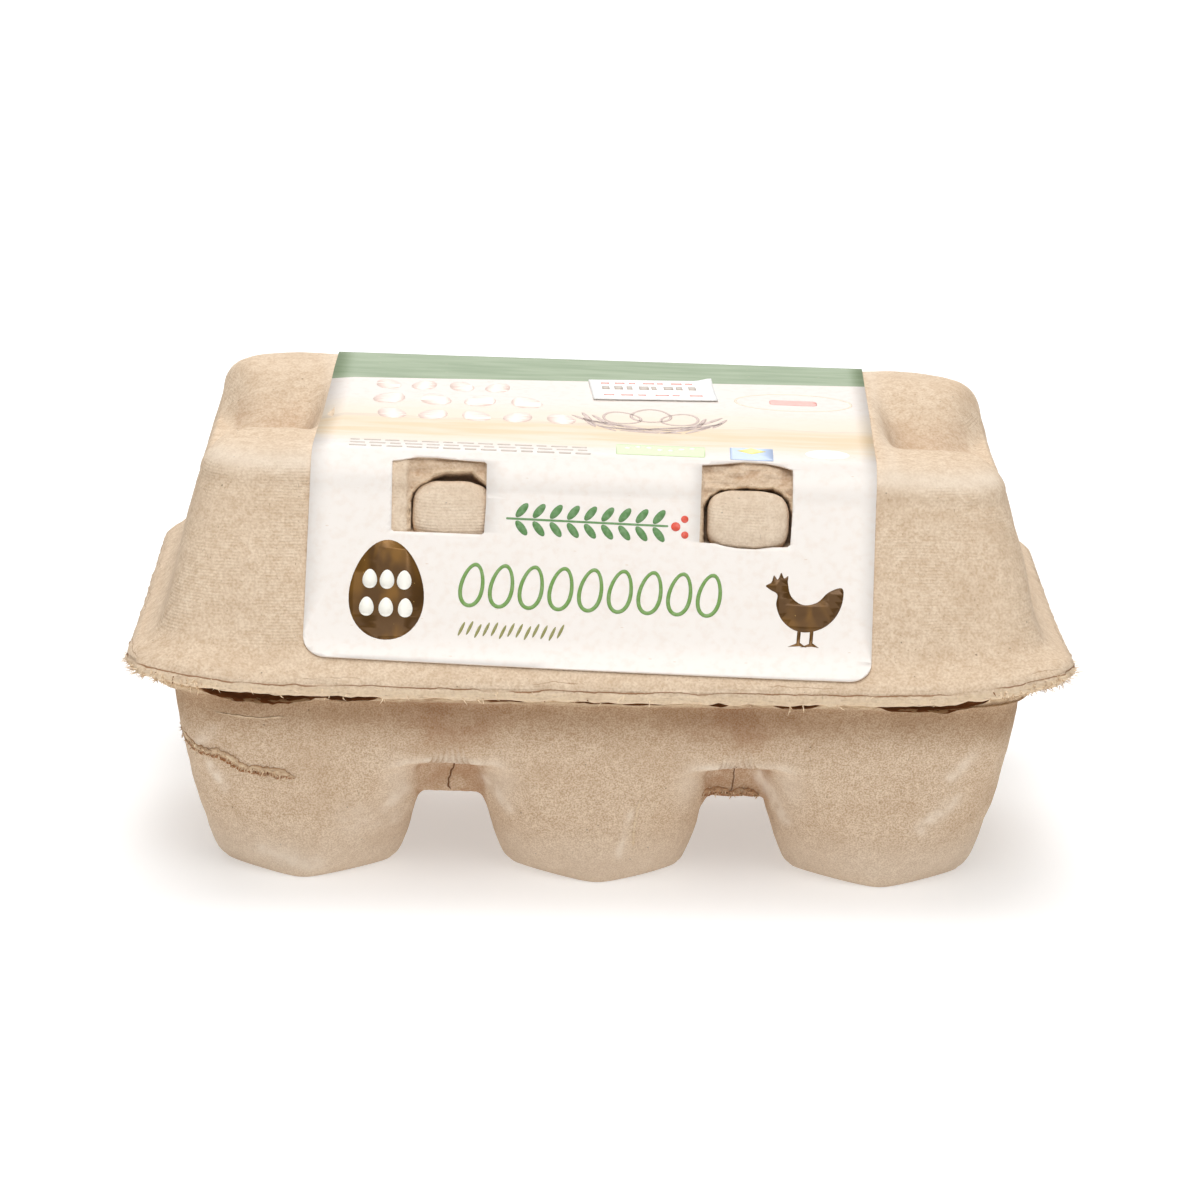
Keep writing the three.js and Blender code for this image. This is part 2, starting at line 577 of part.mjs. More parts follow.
function buildLabel() {
  const columns = LABEL_COLUMNS;
  const points = [];
  const loops = [];
  for (let k = 0; k <= columns; k++) {
    const across = LABEL.middleX + LABEL.width * (k / columns - 0.5);
    const section = labelSection(across);
    const along = section.map((p, i) => (i === 0 ? 0 : p.distanceTo(section[i - 1])));
    for (let i = 1; i < along.length; i++) along[i] += along[i - 1];
    const start = points.length;
    const outer = offsetSection(section, LABEL.gap + LABEL.thickness);
    outer.forEach((p, i) => points.push(onLabel(across, along[i], p)));
    const inner = offsetSection(section, LABEL.gap);
    for (let i = inner.length - 1; i >= 0; i--) points.push(onLabel(across, along[i], inner[i]));
    loops.push(Array.from({ length: points.length - start }, (_, i) => start + i));
  }
  const triangles = [];
  for (let k = 0; k < columns; k++) triangles.push(...bandTriangles(loops[k + 1], loops[k]));
  const last = loops[0].length - 1;
  for (let i = 0; i < loops[0].length / 2 - 1; i++) {
    const [left, right] = [loops[0], loops[columns]];
    const [here, before] = [last - i, last - 1 - i];
    triangles.push([left[i], left[i + 1], left[before]], [left[i], left[before], left[here]]);
    triangles.push([right[i], right[before], right[i + 1]], [right[i], right[here], right[before]]);
  }
  const slab = geometryFrom(points, triangles);
  return subtractAll(slab, [...labelWindows(), ...labelCorners()]);
}

function labelWindows() {
  const { width, bottom, top, radius, depth } = WINDOW;
  const lift = [WINDOW.leftX, WINDOW.rightX].map((x) => asShut(new THREE.Vector3(x, 0, top)).z - top);
  return [WINDOW.leftX, WINDOW.rightX].map((x, i) =>
    windowCutter({ width, bottom: bottom + lift[i], top: top + lift[i], radius, depth }, x));
}

// Blocks that leave the label's two front corners round
function labelCorners() {
  const radius = LABEL.corner;
  const { steps, past, depth } = LABEL_CORNER;
  return [-1, 1].map((side) => {
    const x = LABEL.middleX + (side * LABEL.width) / 2;
    const start = labelSection(x)[0];
    const corner = asShut(new THREE.Vector3(x, start.x, start.y));
    const shape = new THREE.Shape();
    shape.moveTo(side * past, -past);
    shape.lineTo(-side * radius, -past);
    shape.lineTo(-side * radius, 0);
    for (let i = 1; i <= steps; i++) {
      const angle = (Math.PI / 2) * (i / steps);
      shape.lineTo(side * (-radius + radius * Math.sin(angle)), radius * (1 - Math.cos(angle)));
    }
    shape.lineTo(side * past, radius);
    const block = new THREE.ExtrudeGeometry(shape, { depth: CUTTER_LENGTH, bevelEnabled: false });
    block.rotateX(Math.PI / 2);
    block.translate(corner.x, -WIDTH / 2 + depth, corner.z);
    return block;
  });
}

function buildSticker() {
  const { width, depth, x, y, turnDeg, thickness, gap } = STICKER;
  const { columns, rows } = STICKER_FACETS;
  const plate = new THREE.BoxGeometry(width, depth, thickness, columns, rows, 1);
  plate.rotateZ(THREE.MathUtils.degToRad(turnDeg));
  plate.translate(x, y, HEIGHT + LABEL.gap + LABEL.thickness + gap + thickness / 2);
  const at = plate.getAttribute("position");
  for (let i = 0; i < at.count; i++) {
    const p = asShut(new THREE.Vector3().fromBufferAttribute(at, i));
    at.setXYZ(i, p.x, p.y, p.z);
  }
  return geometryOf(solidFrom(plate));
}

// A half-round bead along the back, behind both flanges
function buildHinge() {
  const { length, height, depth, steps, lengths } = HINGE;
  const section = new THREE.Shape();
  section.moveTo(0, -height / 2);
  for (let i = 1; i <= steps; i++) {
    const angle = -Math.PI / 2 + Math.PI * (i / steps);
    section.lineTo(depth * Math.cos(angle), (height / 2) * Math.sin(angle));
  }
  const bead = new THREE.ExtrudeGeometry(section, { depth: length, bevelEnabled: false, steps: lengths });
  bead.applyMatrix4(new THREE.Matrix4().makeBasis(
    new THREE.Vector3(0, 1, 0), new THREE.Vector3(0, 0, 1), new THREE.Vector3(1, 0, 0),
  ));
  bead.translate(-length / 2, WIDTH / 2 - depth, SEAM_Z);
  return geometryOf(solidFrom(bead));
}

const carton = new THREE.Group();
const pieces = [
  ["tray", buildTray(), pulp],
  ["lid", buildLid(), pulpLid],
  ["latch_left", buildKnob("left"), pulpLid],
  ["latch_right", buildKnob("right"), pulpLid],
  ["label", buildLabel(), paper],
  ["date_sticker", buildSticker(), sticker],
  ["hinge_fold", buildHinge(), pulp],
];
for (const [name, geometry, material] of pieces) {
  const mesh = new THREE.Mesh(geometry, material);
  mesh.name = name;
  carton.add(mesh);
}

export default carton;
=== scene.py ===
"""A shut moulded-pulp carton for six eggs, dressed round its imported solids.

Lengths are in millimetres in the carton's frame: +X along the carton, -Y towards the latches, +Z up. They turn into
metres where a mesh is made. Everything glued to the lid is laid out on a sheet: x along the carton, s the distance
up the front wall and over the top, with s = 0 near the label's front edge.
"""

import logging
import math
from collections.abc import Callable, Sequence
from dataclasses import dataclass, field
from enum import Enum
from functools import cached_property

import bmesh
import bpy
import numpy as np
from mathutils import Matrix, Vector, noise


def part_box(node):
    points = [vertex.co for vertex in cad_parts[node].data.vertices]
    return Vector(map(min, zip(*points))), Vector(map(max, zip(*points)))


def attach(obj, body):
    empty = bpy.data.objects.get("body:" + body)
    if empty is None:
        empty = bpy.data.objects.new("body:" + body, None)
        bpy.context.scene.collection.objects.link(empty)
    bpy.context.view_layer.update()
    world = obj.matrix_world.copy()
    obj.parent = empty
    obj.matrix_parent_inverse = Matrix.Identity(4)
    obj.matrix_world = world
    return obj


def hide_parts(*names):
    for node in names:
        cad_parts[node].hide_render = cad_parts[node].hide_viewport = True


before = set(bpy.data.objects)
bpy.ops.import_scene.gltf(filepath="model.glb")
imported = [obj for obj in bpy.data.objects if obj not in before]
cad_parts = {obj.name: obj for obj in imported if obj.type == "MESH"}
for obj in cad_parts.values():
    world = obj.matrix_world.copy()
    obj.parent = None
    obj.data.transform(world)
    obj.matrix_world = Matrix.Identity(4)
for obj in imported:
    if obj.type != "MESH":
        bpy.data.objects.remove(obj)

log = logging.getLogger("carton")

MM = 0.001
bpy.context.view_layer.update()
WALL_INWARD = (0.0, 0.93, -0.37)  # straight into the lid's front wall
Colour = tuple[float, float, float]
Layers = tuple[tuple[float, float, int], ...]
Outline = np.ndarray


class Slot(str, Enum):
    """Material slots of the record."""

    TRAY = "pulp_tray"
    LID = "pulp_lid"
    LABEL = "label_paper"
    STICKER = "sticker_paper"


def linear(red: int, green: int, blue: int) -> Colour:
    """Turns an sRGB colour of 0 to 255 into linear light."""
    shares = (value / 255 for value in (red, green, blue))
    return tuple(v / 12.92 if v <= 0.04045 else ((v + 0.055) / 1.055) ** 2.4 for v in shares)


def smooth_max(a: np.ndarray, b: np.ndarray, rounding: float) -> np.ndarray:
    """Larger of two heights with the edge between them rounded off.

    Args:
        a: First heights.
        b: Second heights.
        rounding: Width of the rounded edge.

    Returns:
        The rounded larger heights.
    """
    near = np.maximum(rounding - np.abs(a - b), 0) / rounding
    return np.maximum(a, b) + near * near * rounding / 4


def smooth_min(a: np.ndarray, b: np.ndarray, rounding: float) -> np.ndarray:
    """Smaller of two heights with the edge between them rounded off."""
    return -smooth_max(-a, -b, rounding)


def smooth_step(start: float, end: float, value: np.ndarray) -> np.ndarray:
    """Rises smoothly from 0 at start to 1 at end."""
    t = np.clip((value - start) / (end - start), 0, 1)
    return t * t * (3 - 2 * t)


def lumps(points: np.ndarray, size: float, seed: int = 0) -> np.ndarray:
    """Smooth random relief over points in space.

    Args:
        points: Points as rows of x, y, z.
        size: Breadth of one lump.
        seed: Picks another pattern.

    Returns:
        One value from -1 to 1 for each point.
    """
    scaled = np.asarray(points, float) / size + np.array([17.3, 5.1, 9.7]) * seed
    return np.array([noise.noise(Vector(p)) for p in scaled])


def layered(points: np.ndarray, layers: Layers) -> np.ndarray:
    """Adds up several layers of lumps, each given by its height, breadth and seed."""
    return sum(height * lumps(points, breadth, seed) for height, breadth, seed in layers)


def quad_grid(rows: int, columns: int, closed: bool = False, start: int = 0) -> np.ndarray:
    """Quads between neighbouring rows of points that are stored row after row.

    Args:
        rows: Number of rows.
        columns: Points in each row.
        closed: Whether the last point of a row joins the first.
        start: Index of the very first point.

    Returns:
        Index quads, one a row.
    """
    across = np.arange(columns if closed else columns - 1)
    nxt = (across + 1) % columns
    base = start + np.arange(rows - 1)[:, None] * columns
    quads = np.stack([base + across, base + nxt, base + columns + nxt, base + columns + across], axis=-1)
    return quads.reshape(-1, 4)


def resample(line: np.ndarray, step: float, keep: bool = True) -> np.ndarray:
    """Adds points to a polyline of any number of columns; the last two columns give its length.

    Args:
        line: Points as rows.
        step: Longest distance wanted between points.
        keep: Whether the polyline's own points stay.

    Returns:
        The denser polyline.
    """
    if not keep:
        lengths = np.r_[0, np.cumsum(np.hypot(*np.diff(line[:, -2:], axis=0).T))]
        wanted = np.linspace(0, lengths[-1], max(2, math.ceil(lengths[-1] / step) + 1))
        return np.stack([np.interp(wanted, lengths, column) for column in line.T], axis=1)
    made = [line[:1]]
    for a, b in zip(line[:-1], line[1:]):
        count = max(1, math.ceil(np.hypot(*(b - a)[-2:]) / step))
        made.append(a + (b - a) * (np.arange(1, count + 1) / count)[:, None])
    return np.vstack(made)


def rounded(line: np.ndarray, parts: int) -> np.ndarray:
    """Runs a smooth Catmull-Rom curve through the points of a polyline.

    Args:
        line: Points as rows.
        parts: Steps between two points.

    Returns:
        The curve's points.
    """
    ends = np.vstack([2 * line[0] - line[1], line, 2 * line[-1] - line[-2]])
    t = (np.arange(parts) / parts)[:, None]
    made = []
    for p0, p1, p2, p3 in zip(ends[:-3], ends[1:-2], ends[2:-1], ends[3:]):
        bend = 2 * p0 - 5 * p1 + 4 * p2 - p3
        made.append(0.5 * (2 * p1 + (p2 - p0) * t + bend * t**2 + (3 * p1 - p0 - 3 * p2 + p3) * t**3))
    return np.vstack([*made, line[-1:]])


class Wire:
    """A value in a shader; an expression on it adds the Math nodes it needs."""

    def __init__(self, graph: "Graph", socket: bpy.types.NodeSocket) -> None:
        """Wraps a node's output socket."""
        self.graph = graph
        self.socket = socket

    def maths(self, operation: str, *operands: "Wire | float") -> "Wire":
        """Adds one Math node.

        Args:
            operation: The node's operation.
            operands: What goes into it, in order.

        Returns:
            The node's value.
        """
        return self.graph.value("ShaderNodeMath", {"operation": operation}, dict(enumerate(operands)))

    def __add__(self, other: "Wire | float") -> "Wire":
        """Adds."""
        return self.maths("ADD", self, other)

    def __radd__(self, other: float) -> "Wire":
        """Adds to a number."""
        return self.maths("ADD", other, self)

    def __sub__(self, other: "Wire | float") -> "Wire":
        """Takes away."""
        return self.maths("SUBTRACT", self, other)

    def __rsub__(self, other: float) -> "Wire":
        """Is taken away from a number."""
        return self.maths("SUBTRACT", other, self)

    def __mul__(self, other: "Wire | float") -> "Wire":
        """Multiplies."""
        return self.maths("MULTIPLY", self, other)

    def __rmul__(self, other: float) -> "Wire":
        """Multiplies a number."""
        return self.maths("MULTIPLY", other, self)

    def __gt__(self, other: "Wire | float") -> "Wire":
        """Gives 1 where it is larger."""
        return self.maths("GREATER_THAN", self, other)

    def __abs__(self) -> "Wire":
        """Drops the sign."""
        return self.maths("ABSOLUTE", self)

    def between(self, low: float, high: float) -> "Wire":
        """Rises smoothly from 0 at low to 1 at high.

        Args:
            low: Value that gives 0.
            high: Value that gives 1.

        Returns:
            The eased value.
        """
        settings = {"interpolation_type": "SMOOTHSTEP"}
        sockets = {"Value": self, "From Min": low, "From Max": high}
        return self.graph.value("ShaderNodeMapRange", settings, sockets)


class Graph:
    """A material under construction, with one Principled shader."""

    def __init__(self, name: str, roughness: float, specular: float = 0.3) -> None:
        """Starts an empty material.

        Args:
            name: The material's name.
            roughness: Roughness of the whole surface, until a finish varies it.
            specular: Specular level of the whole surface.
        """
        self.material = bpy.data.materials.new(name)
        self.material.use_nodes = True
        self.tree = self.material.node_tree
        self.shader = self.tree.nodes["Principled BSDF"]
        self.shader.inputs["Roughness"].default_value = roughness
        self.shader.inputs["Specular IOR Level"].default_value = specular

    def node(self, kind: str, settings: dict, sockets: dict) -> bpy.types.Node:
        """Adds a node: its settings first, then the values or links of its sockets.

        Args:
            kind: The node's type.
            settings: Properties by name.
            sockets: Values, vectors, colours or wires by input name or index.

        Returns:
            The node.
        """
        made = self.tree.nodes.new(kind)
        for name, value in settings.items():
            setattr(made, name, value)
        for name, value in sockets.items():
            if isinstance(value, Wire):
                self.tree.links.new(value.socket, made.inputs[name])
            elif isinstance(value, tuple) and made.inputs[name].type == "RGBA":
                made.inputs[name].default_value = (*value, 1)
            else:
                made.inputs[name].default_value = value
        return made

    def value(self, kind: str, settings: dict, sockets: dict, output: str | int = 0) -> Wire:
        """Adds a node and wraps one of its outputs."""
        return Wire(self, self.node(kind, settings, sockets).outputs[output])

    def mix(self, a: "Wire | Colour", b: "Wire | Colour", share: "Wire | float", blend: str = "MIX") -> Wire:
        """Mixes two colours.

        Args:
            a: Colour where the share is 0.
            b: Colour where the share is 1.
            share: How much of b shows.
            blend: How b goes over a.

        Returns:
            The mixed colour.
        """
        settings = {"data_type": "RGBA", "blend_type": blend, "clamp_factor": True}
        return self.value("ShaderNodeMix", settings, {0: share, 6: a, 7: b}, 2)

    def mask(self, name: str) -> Wire:
        """Reads a mask that the mesh carries."""
        return self.value("ShaderNodeAttribute", {"attribute_name": name}, {}, "Fac")

    @cached_property
    def place(self) -> Wire:
        """Point on the carton in millimetres."""
        raw = self.value("ShaderNodeTexCoord", {}, {}, "Object")
        return self.value("ShaderNodeVectorMath", {"operation": "SCALE"}, {0: raw, "Scale": 1 / MM})

    def stretched(self, source: Wire, factors: Colour, shift: float = 0.0, turn: float = 0.0) -> Wire:
        """Turns a point about Z, scales it and shifts it, so that a pattern becomes long in one direction.

        Args:
            source: The point.
            factors: Scale along each axis.
            shift: Shift along every axis, which picks another stretch of the pattern.
            turn: Turn about Z, in degrees.

        Returns:
            The changed point.
        """
        turned = source
        if turn:
            sockets = {"Vector": source, "Angle": math.radians(turn), "Axis": (0, 0, 1)}
            turned = self.value("ShaderNodeVectorRotate", {"rotation_type": "AXIS_ANGLE"}, sockets)
        settings = {"operation": "MULTIPLY_ADD"}
        return self.value("ShaderNodeVectorMath", settings, {0: turned, 1: factors, 2: (shift,) * 3})

    def cloud(self, source: Wire, size: float, detail: float = 2, distortion: float = 0) -> Wire:
        """Soft noise from 0 to 1 with lumps of a size in millimetres."""
        sockets = {"Vector": source, "Scale": 1 / size, "Detail": detail, "Distortion": distortion}
        return self.value("ShaderNodeTexNoise", {}, sockets)

    def cells(self, source: Wire, size: float, output: str = "Distance") -> Wire:
        """Distance to scattered points, or their random colour, with one point in each size."""
        return self.value("ShaderNodeTexVoronoi", {}, {"Vector": source, "Scale": 1 / size}, output)

    def split(self, source: Wire, axis: str) -> Wire:
        """Takes one number out of a vector."""
        return self.value("ShaderNodeSeparateXYZ", {}, {0: source}, axis)

    def bump(self, height: Wire, depth: float, strength: float = 1.0) -> None:
        """Lets a height of 0 to 1 raise the surface.

        Args:
            height: The relief.
            depth: Height of the relief in millimetres.
            strength: Strength of the effect.
        """
        raised = self.value("ShaderNodeBump", {}, {"Strength": strength, "Distance": depth * MM, "Height": height})
        self.connect("Normal", raised)

    def connect(self, socket: str, wire: Wire) -> None:
        """Links a wire to an input of the shader."""
        self.tree.links.new(wire.socket, self.shader.inputs[socket])


@dataclass(frozen=True)
class PulpFinish:
    """Grey-brown moulded pulp: speckled, fibrous, with the moulding screen's lines where it lay on the screen."""

    name: str
    base: Colour
    dark: Colour
    light: Colour
    torn: Colour = linear(236, 213, 180)
    # Brown of real stains, also painted as shade in the niches, the lid's valleys, the latch recesses and the knobs'
    # backs.
    stain_and_painted_shade: Colour = linear(154, 101, 56)
    # Dark brown of real cracks, also painted as shade at the bottom of the latch holes and on the knobs' backs.
    crack_and_painted_shade: Colour = linear(104, 66, 38)
    # Painted shade inside the slits between tray and lid and under the torn ridges; also the colour of a few dark
    # fibres.
    painted_shade_and_dark_fibre: Colour = linear(128, 84, 52)
    # Light of worn pulp, also painted light near the tray's feet and painted highlight on crests and niche edges.
    rubbed_and_painted_light: Colour = linear(242, 228, 210)
    dark_fibre: Colour = linear(110, 78, 50)
    steep_fibre: Colour = linear(116, 84, 56)
    brown_speck: Colour = linear(128, 92, 60)
    dark_speck: Colour = linear(74, 54, 40)
    # Painted shade under the tray's rim, multiplied into the pulp.
    shaded: Colour = linear(205, 190, 174)
    under_layer: Colour = linear(142, 104, 70)
    lip_crack: Colour = linear(142, 98, 62)
    contrast: float = 0.62
    coarse: float = 0.4
    screen_depth: float = 0.0
    screen_pitch: float = 0.46
    grain: float = 0.42

    def fleck(self, graph: Graph, stretch: Colour, turn: float, size: float, radius: float, rare: float) -> Wire:
        """Scattered specks or fibres.

        Args:
            graph: The material.
            stretch: Scale of the pattern along each axis.
            turn: Direction of the fibres, in degrees.
            size: Distance between the points of the pattern.
            radius: Radius of a speck, as a share of that distance.
            rare: Share of the points that stay empty.

        Returns:
            A mask that is 1 on a speck.
        """
        at = graph.stretched(graph.place, stretch, rare * 31, turn)
        here = graph.cells(at, size)
        pick = graph.split(graph.cells(at, size, "Color"), "X")
        return (1 - here.between(radius * 0.6, radius)) * (pick > rare)

    def make(self) -> bpy.types.Material:
        """Builds the material.

        Returns:
            The material.
        """
        graph = Graph(self.name, 0.93, 0.16)
        place = graph.place
        grain = graph.cloud(place, self.grain, 3)
        coarse = graph.cloud(place, 1.5, 3)
        mottle = graph.cloud(graph.stretched(place, (1, 1, 1.4), 4), 9, 3)
        mottled = grain.between(0.34, 0.66) * (1 - self.coarse) + coarse.between(0.34, 0.66) * self.coarse
        colour = graph.mix(self.dark, self.light, mottled)
        colour = graph.mix(self.base, colour, self.contrast)
        colour = graph.mix(colour, self.dark, mottle.between(0.45, 0.75) * 0.3)
        dark_specks = self.fleck(graph, (1, 1, 1), 0, 2.6, 0.075, 0.55)
        brown_specks = self.fleck(graph, (1, 1, 1), 0, 1.1, 0.15, 0.72)
        light_fibres = self.fleck(graph, (0.32, 2.2, 1.6), 25, 1.4, 0.12, 0.6)
        dark_fibres = self.fleck(graph, (1.8, 0.3, 1.7), -15, 1.9, 0.09, 0.62)
        steep_fibres = self.fleck(graph, (1.9, 1.6, 0.3), 0, 2.2, 0.09, 0.66)
        colour = graph.mix(colour, self.light, light_fibres * 0.6)
        colour = graph.mix(colour, self.dark_fibre, dark_fibres * 0.34)
        colour = graph.mix(colour, self.steep_fibre, steep_fibres * 0.34)
        colour = graph.mix(colour, self.brown_speck, brown_specks * 0.3)
        colour = graph.mix(colour, self.dark_speck, dark_specks * 0.55)
        # Real stains, and painted shade in niches, valleys, latch recesses and knob backs.
        stain_and_painted_shade = graph.mask("stain_and_painted_shade") * (0.45 + 0.55 * graph.cloud(place, 5, 4).between(0.36, 0.6))
        colour = graph.mix(colour, self.stain_and_painted_shade, stain_and_painted_shade * 0.52)
        # Worn pulp, and painted light near the feet and painted highlight on crests and niche edges.
        colour = graph.mix(colour, self.rubbed_and_painted_light, graph.mask("worn_and_painted_light") * 0.7)
        # Painted shade: darker towards the top of the tray's wall, under the rim.
        shade = graph.mask("shade") * (0.75 + 0.25 * mottle)
        colour = graph.mix(colour, self.shaded, shade, "MULTIPLY")
        ragged = graph.cloud(graph.stretched(place, (0.5, 0.5, 2.6), 2), 0.8, 3)
        torn = graph.mask("torn")
        colour = graph.mix(colour, self.torn, torn * (0.35 + 0.5 * ragged.between(0.3, 0.7)))
        layers = (1 - ragged.between(0.28, 0.42)) * torn
        colour = graph.mix(colour, self.under_layer, layers * 0.5)
        colour = graph.mix(colour, self.lip_crack, self.lip_cracks(graph) * 0.85)
        # Painted shade in the slits and under the torn ridges, and a few dark fibres.
        colour = graph.mix(colour, self.painted_shade_and_dark_fibre, graph.mask("painted_shade_and_dark_fibre"))
        # Real cracks, and painted shade in the latch holes and on the knobs' backs.
        colour = graph.mix(colour, self.crack_and_painted_shade, graph.mask("crack_and_painted_shade"))
        graph.connect("Base Color", colour)
        height = grain * 0.6 + coarse * 0.5 + ragged * torn * 0.9 + light_fibres * 0.12
        if self.screen_depth:
            height = height + self.screen(graph) * self.screen_depth
        graph.bump(height, 0.28, 0.6)
        return graph.material

    def lip_cracks(self, graph: Graph) -> Wire:
        """Thin wavy cracks along the lid's lip, where its layers come apart.

        Args:
            graph: The material.

        Returns:
            A mask that is 1 in a crack.
        """
        rim = graph.mask("rim")
        along = graph.stretched(graph.place, (1, 1, 0))
        wave = (graph.cloud(along, 6, 4) - 0.5) * 1.5
        first = abs(rim - 1.9 - wave).between(0.04, 0.14)
        second = abs(rim - 3.1 - wave * 1.8).between(0.03, 0.11)
        here = graph.cloud(along, 13, 2).between(0.34, 0.48)
        there = graph.cloud(graph.stretched(along, (1, 1, 1), 9), 9, 2).between(0.53, 0.6)
        return self.larger((1 - first) * here, (1 - second) * there * 0.6)

    @staticmethod
    def larger(a: Wire, b: Wire) -> Wire:
        """Larger of two values."""
        return a.maths("MAXIMUM", a, b)

    def screen(self, graph: Graph) -> Wire:
        """Fine level lines that the moulding screen leaves on steep walls.

        Args:
            graph: The material.

        Returns:
            The lines' height, from 0 to 1.
        """
        drift = graph.cloud(graph.place, 14, 1) * 0.9
        level = graph.split(graph.place, "Z") + drift
        wave = level.maths("SINE", level * (math.tau / self.screen_pitch))
        normal = graph.value("ShaderNodeNewGeometry", {}, {}, "Normal")
        steep = 1 - graph.split(normal, "Z").between(0.5, 0.8)
        patchy = graph.cloud(graph.place, 11, 2).between(0.35, 0.6)
        return (wave * 0.5 + 0.5) * steep * patchy


@dataclass(frozen=True)
class PaperFinish:
    """Off-white label paper with the washed fields of colour that are printed on it."""

    name: str = "label_paper"
    paper: Colour = linear(245, 238, 231)
    band: Colour = linear(136, 158, 120)
    band_light: Colour = linear(160, 178, 144)
    band_from: float = 84.3
    band_slope: float = 0.075
    ochre: Colour = linear(240, 214, 174)
    pale: Colour = linear(246, 231, 208)
    horizon: Colour = linear(214, 196, 178)
    fibre: Colour = linear(240, 229, 219)
    speck: Colour = linear(222, 200, 178)
    cut_edge: Colour = linear(236, 222, 206)
    top_shade: Colour = linear(236, 234, 233)

    def make(self) -> bpy.types.Material:
        """Builds the material.

        Returns:
            The material.
        """
        graph = Graph(self.name, 0.55, 0.4)
        sheet = graph.value("ShaderNodeAttribute", {"attribute_name": "sheet"}, {}, "Vector")
        along = graph.split(sheet, "Y")
        streak = graph.cloud(graph.stretched(sheet, (0.16, 1, 1)), 2.6, 4)
        wash = graph.cloud(graph.stretched(sheet, (0.3, 0.7, 1), 7), 6, 3)
        fibre = graph.cloud(graph.stretched(sheet, (1, 1, 1), 3), 1.3, 4)
        paper = graph.mix(self.paper, self.fibre, fibre.between(0.42, 0.75) * 0.7)
        edge = along + (streak - 0.5) * 9
        field = edge.between(37, 43) * (1 - edge.between(57, 73))
        strong = edge.between(41, 47) * (1 - edge.between(53, 58))
        colour = graph.mix(paper, self.pale, field * (0.65 + 0.35 * wash))
        colour = graph.mix(colour, self.ochre, strong * (0.35 + 0.65 * streak.between(0.3, 0.65)))
        ridge = abs(edge - 56)
        colour = graph.mix(colour, self.horizon, (1 - ridge.between(0.1, 0.9)) * wash * 0.7)
        in_band = along > graph.split(sheet, "X") * self.band_slope + self.band_from
        green = graph.mix(self.band, self.band_light, streak.between(0.3, 0.7))
        colour = graph.mix(colour, green, in_band)
        scattered = graph.stretched(sheet, (0.4, 1.5, 1))
        specks = graph.cells(scattered, 1.6).between(0.05, 0.09)
        picked = graph.split(graph.cells(scattered, 1.6, "Color"), "X") > 0.7
        colour = graph.mix(colour, self.speck, (1 - specks) * picked * 0.6)
        colour = graph.mix(colour, self.cut_edge, graph.mask("edge") * 0.7)
        colour = graph.mix(colour, self.top_shade, along.between(31, 38), "MULTIPLY")
        graph.connect("Base Color", colour)
        graph.bump(fibre * 0.5 + graph.cloud(graph.place, 5, 2), 0.1, 0.35)
        return graph.material


@dataclass(frozen=True)
class InkFinish:
    """Matt printing ink, a little uneven."""

    name: str
    colour: Colour
    paper: Colour = linear(253, 247, 240)
    thinness: float = 0.08
    roughness: float = 0.5

    def make(self) -> bpy.types.Material:
        """Builds the material.

        Returns:
            The material.
        """
        graph = Graph(self.name, self.roughness, 0.4)
        uneven = graph.cloud(graph.place, 0.7, 3).between(0.35, 0.75)
        lighter = graph.mix(self.colour, self.paper, self.thinness)
        graph.connect("Base Color", graph.mix(self.colour, lighter, uneven))
        graph.bump(graph.cloud(graph.place, 5, 2), 0.08, 0.3)
        return graph.material


@dataclass(frozen=True)
class FoilFinish:
    """Dark brown foil print with warm clouds and fine golden specks."""

    name: str = "foil_print"
    dark: Colour = linear(92, 62, 24)
    warm: Colour = linear(132, 92, 34)
    speck: Colour = linear(212, 170, 96)

    def make(self) -> bpy.types.Material:
        """Builds the material.

        Returns:
            The material.
        """
        graph = Graph(self.name, 0.3, 0.5)
        sweep = graph.cloud(graph.stretched(graph.place, (1, 1, 0.45)), 5, 2, 0.6)
        colour = graph.mix(self.dark, self.warm, sweep.between(0.42, 0.68))
        dots = 1 - graph.cells(graph.place, 1.0).between(0.05, 0.1)
        picked = graph.split(graph.cells(graph.place, 1.0, "Color"), "X") > 0.62
        graph.connect("Base Color", graph.mix(colour, self.speck, dots * picked * 0.8))
        graph.shader.inputs["Metallic"].default_value = 0.35
        graph.connect("Roughness", 0.24 + sweep * 0.22)
        graph.bump(graph.cloud(graph.place, 2.4, 2), 0.06, 0.4)
        return graph.material


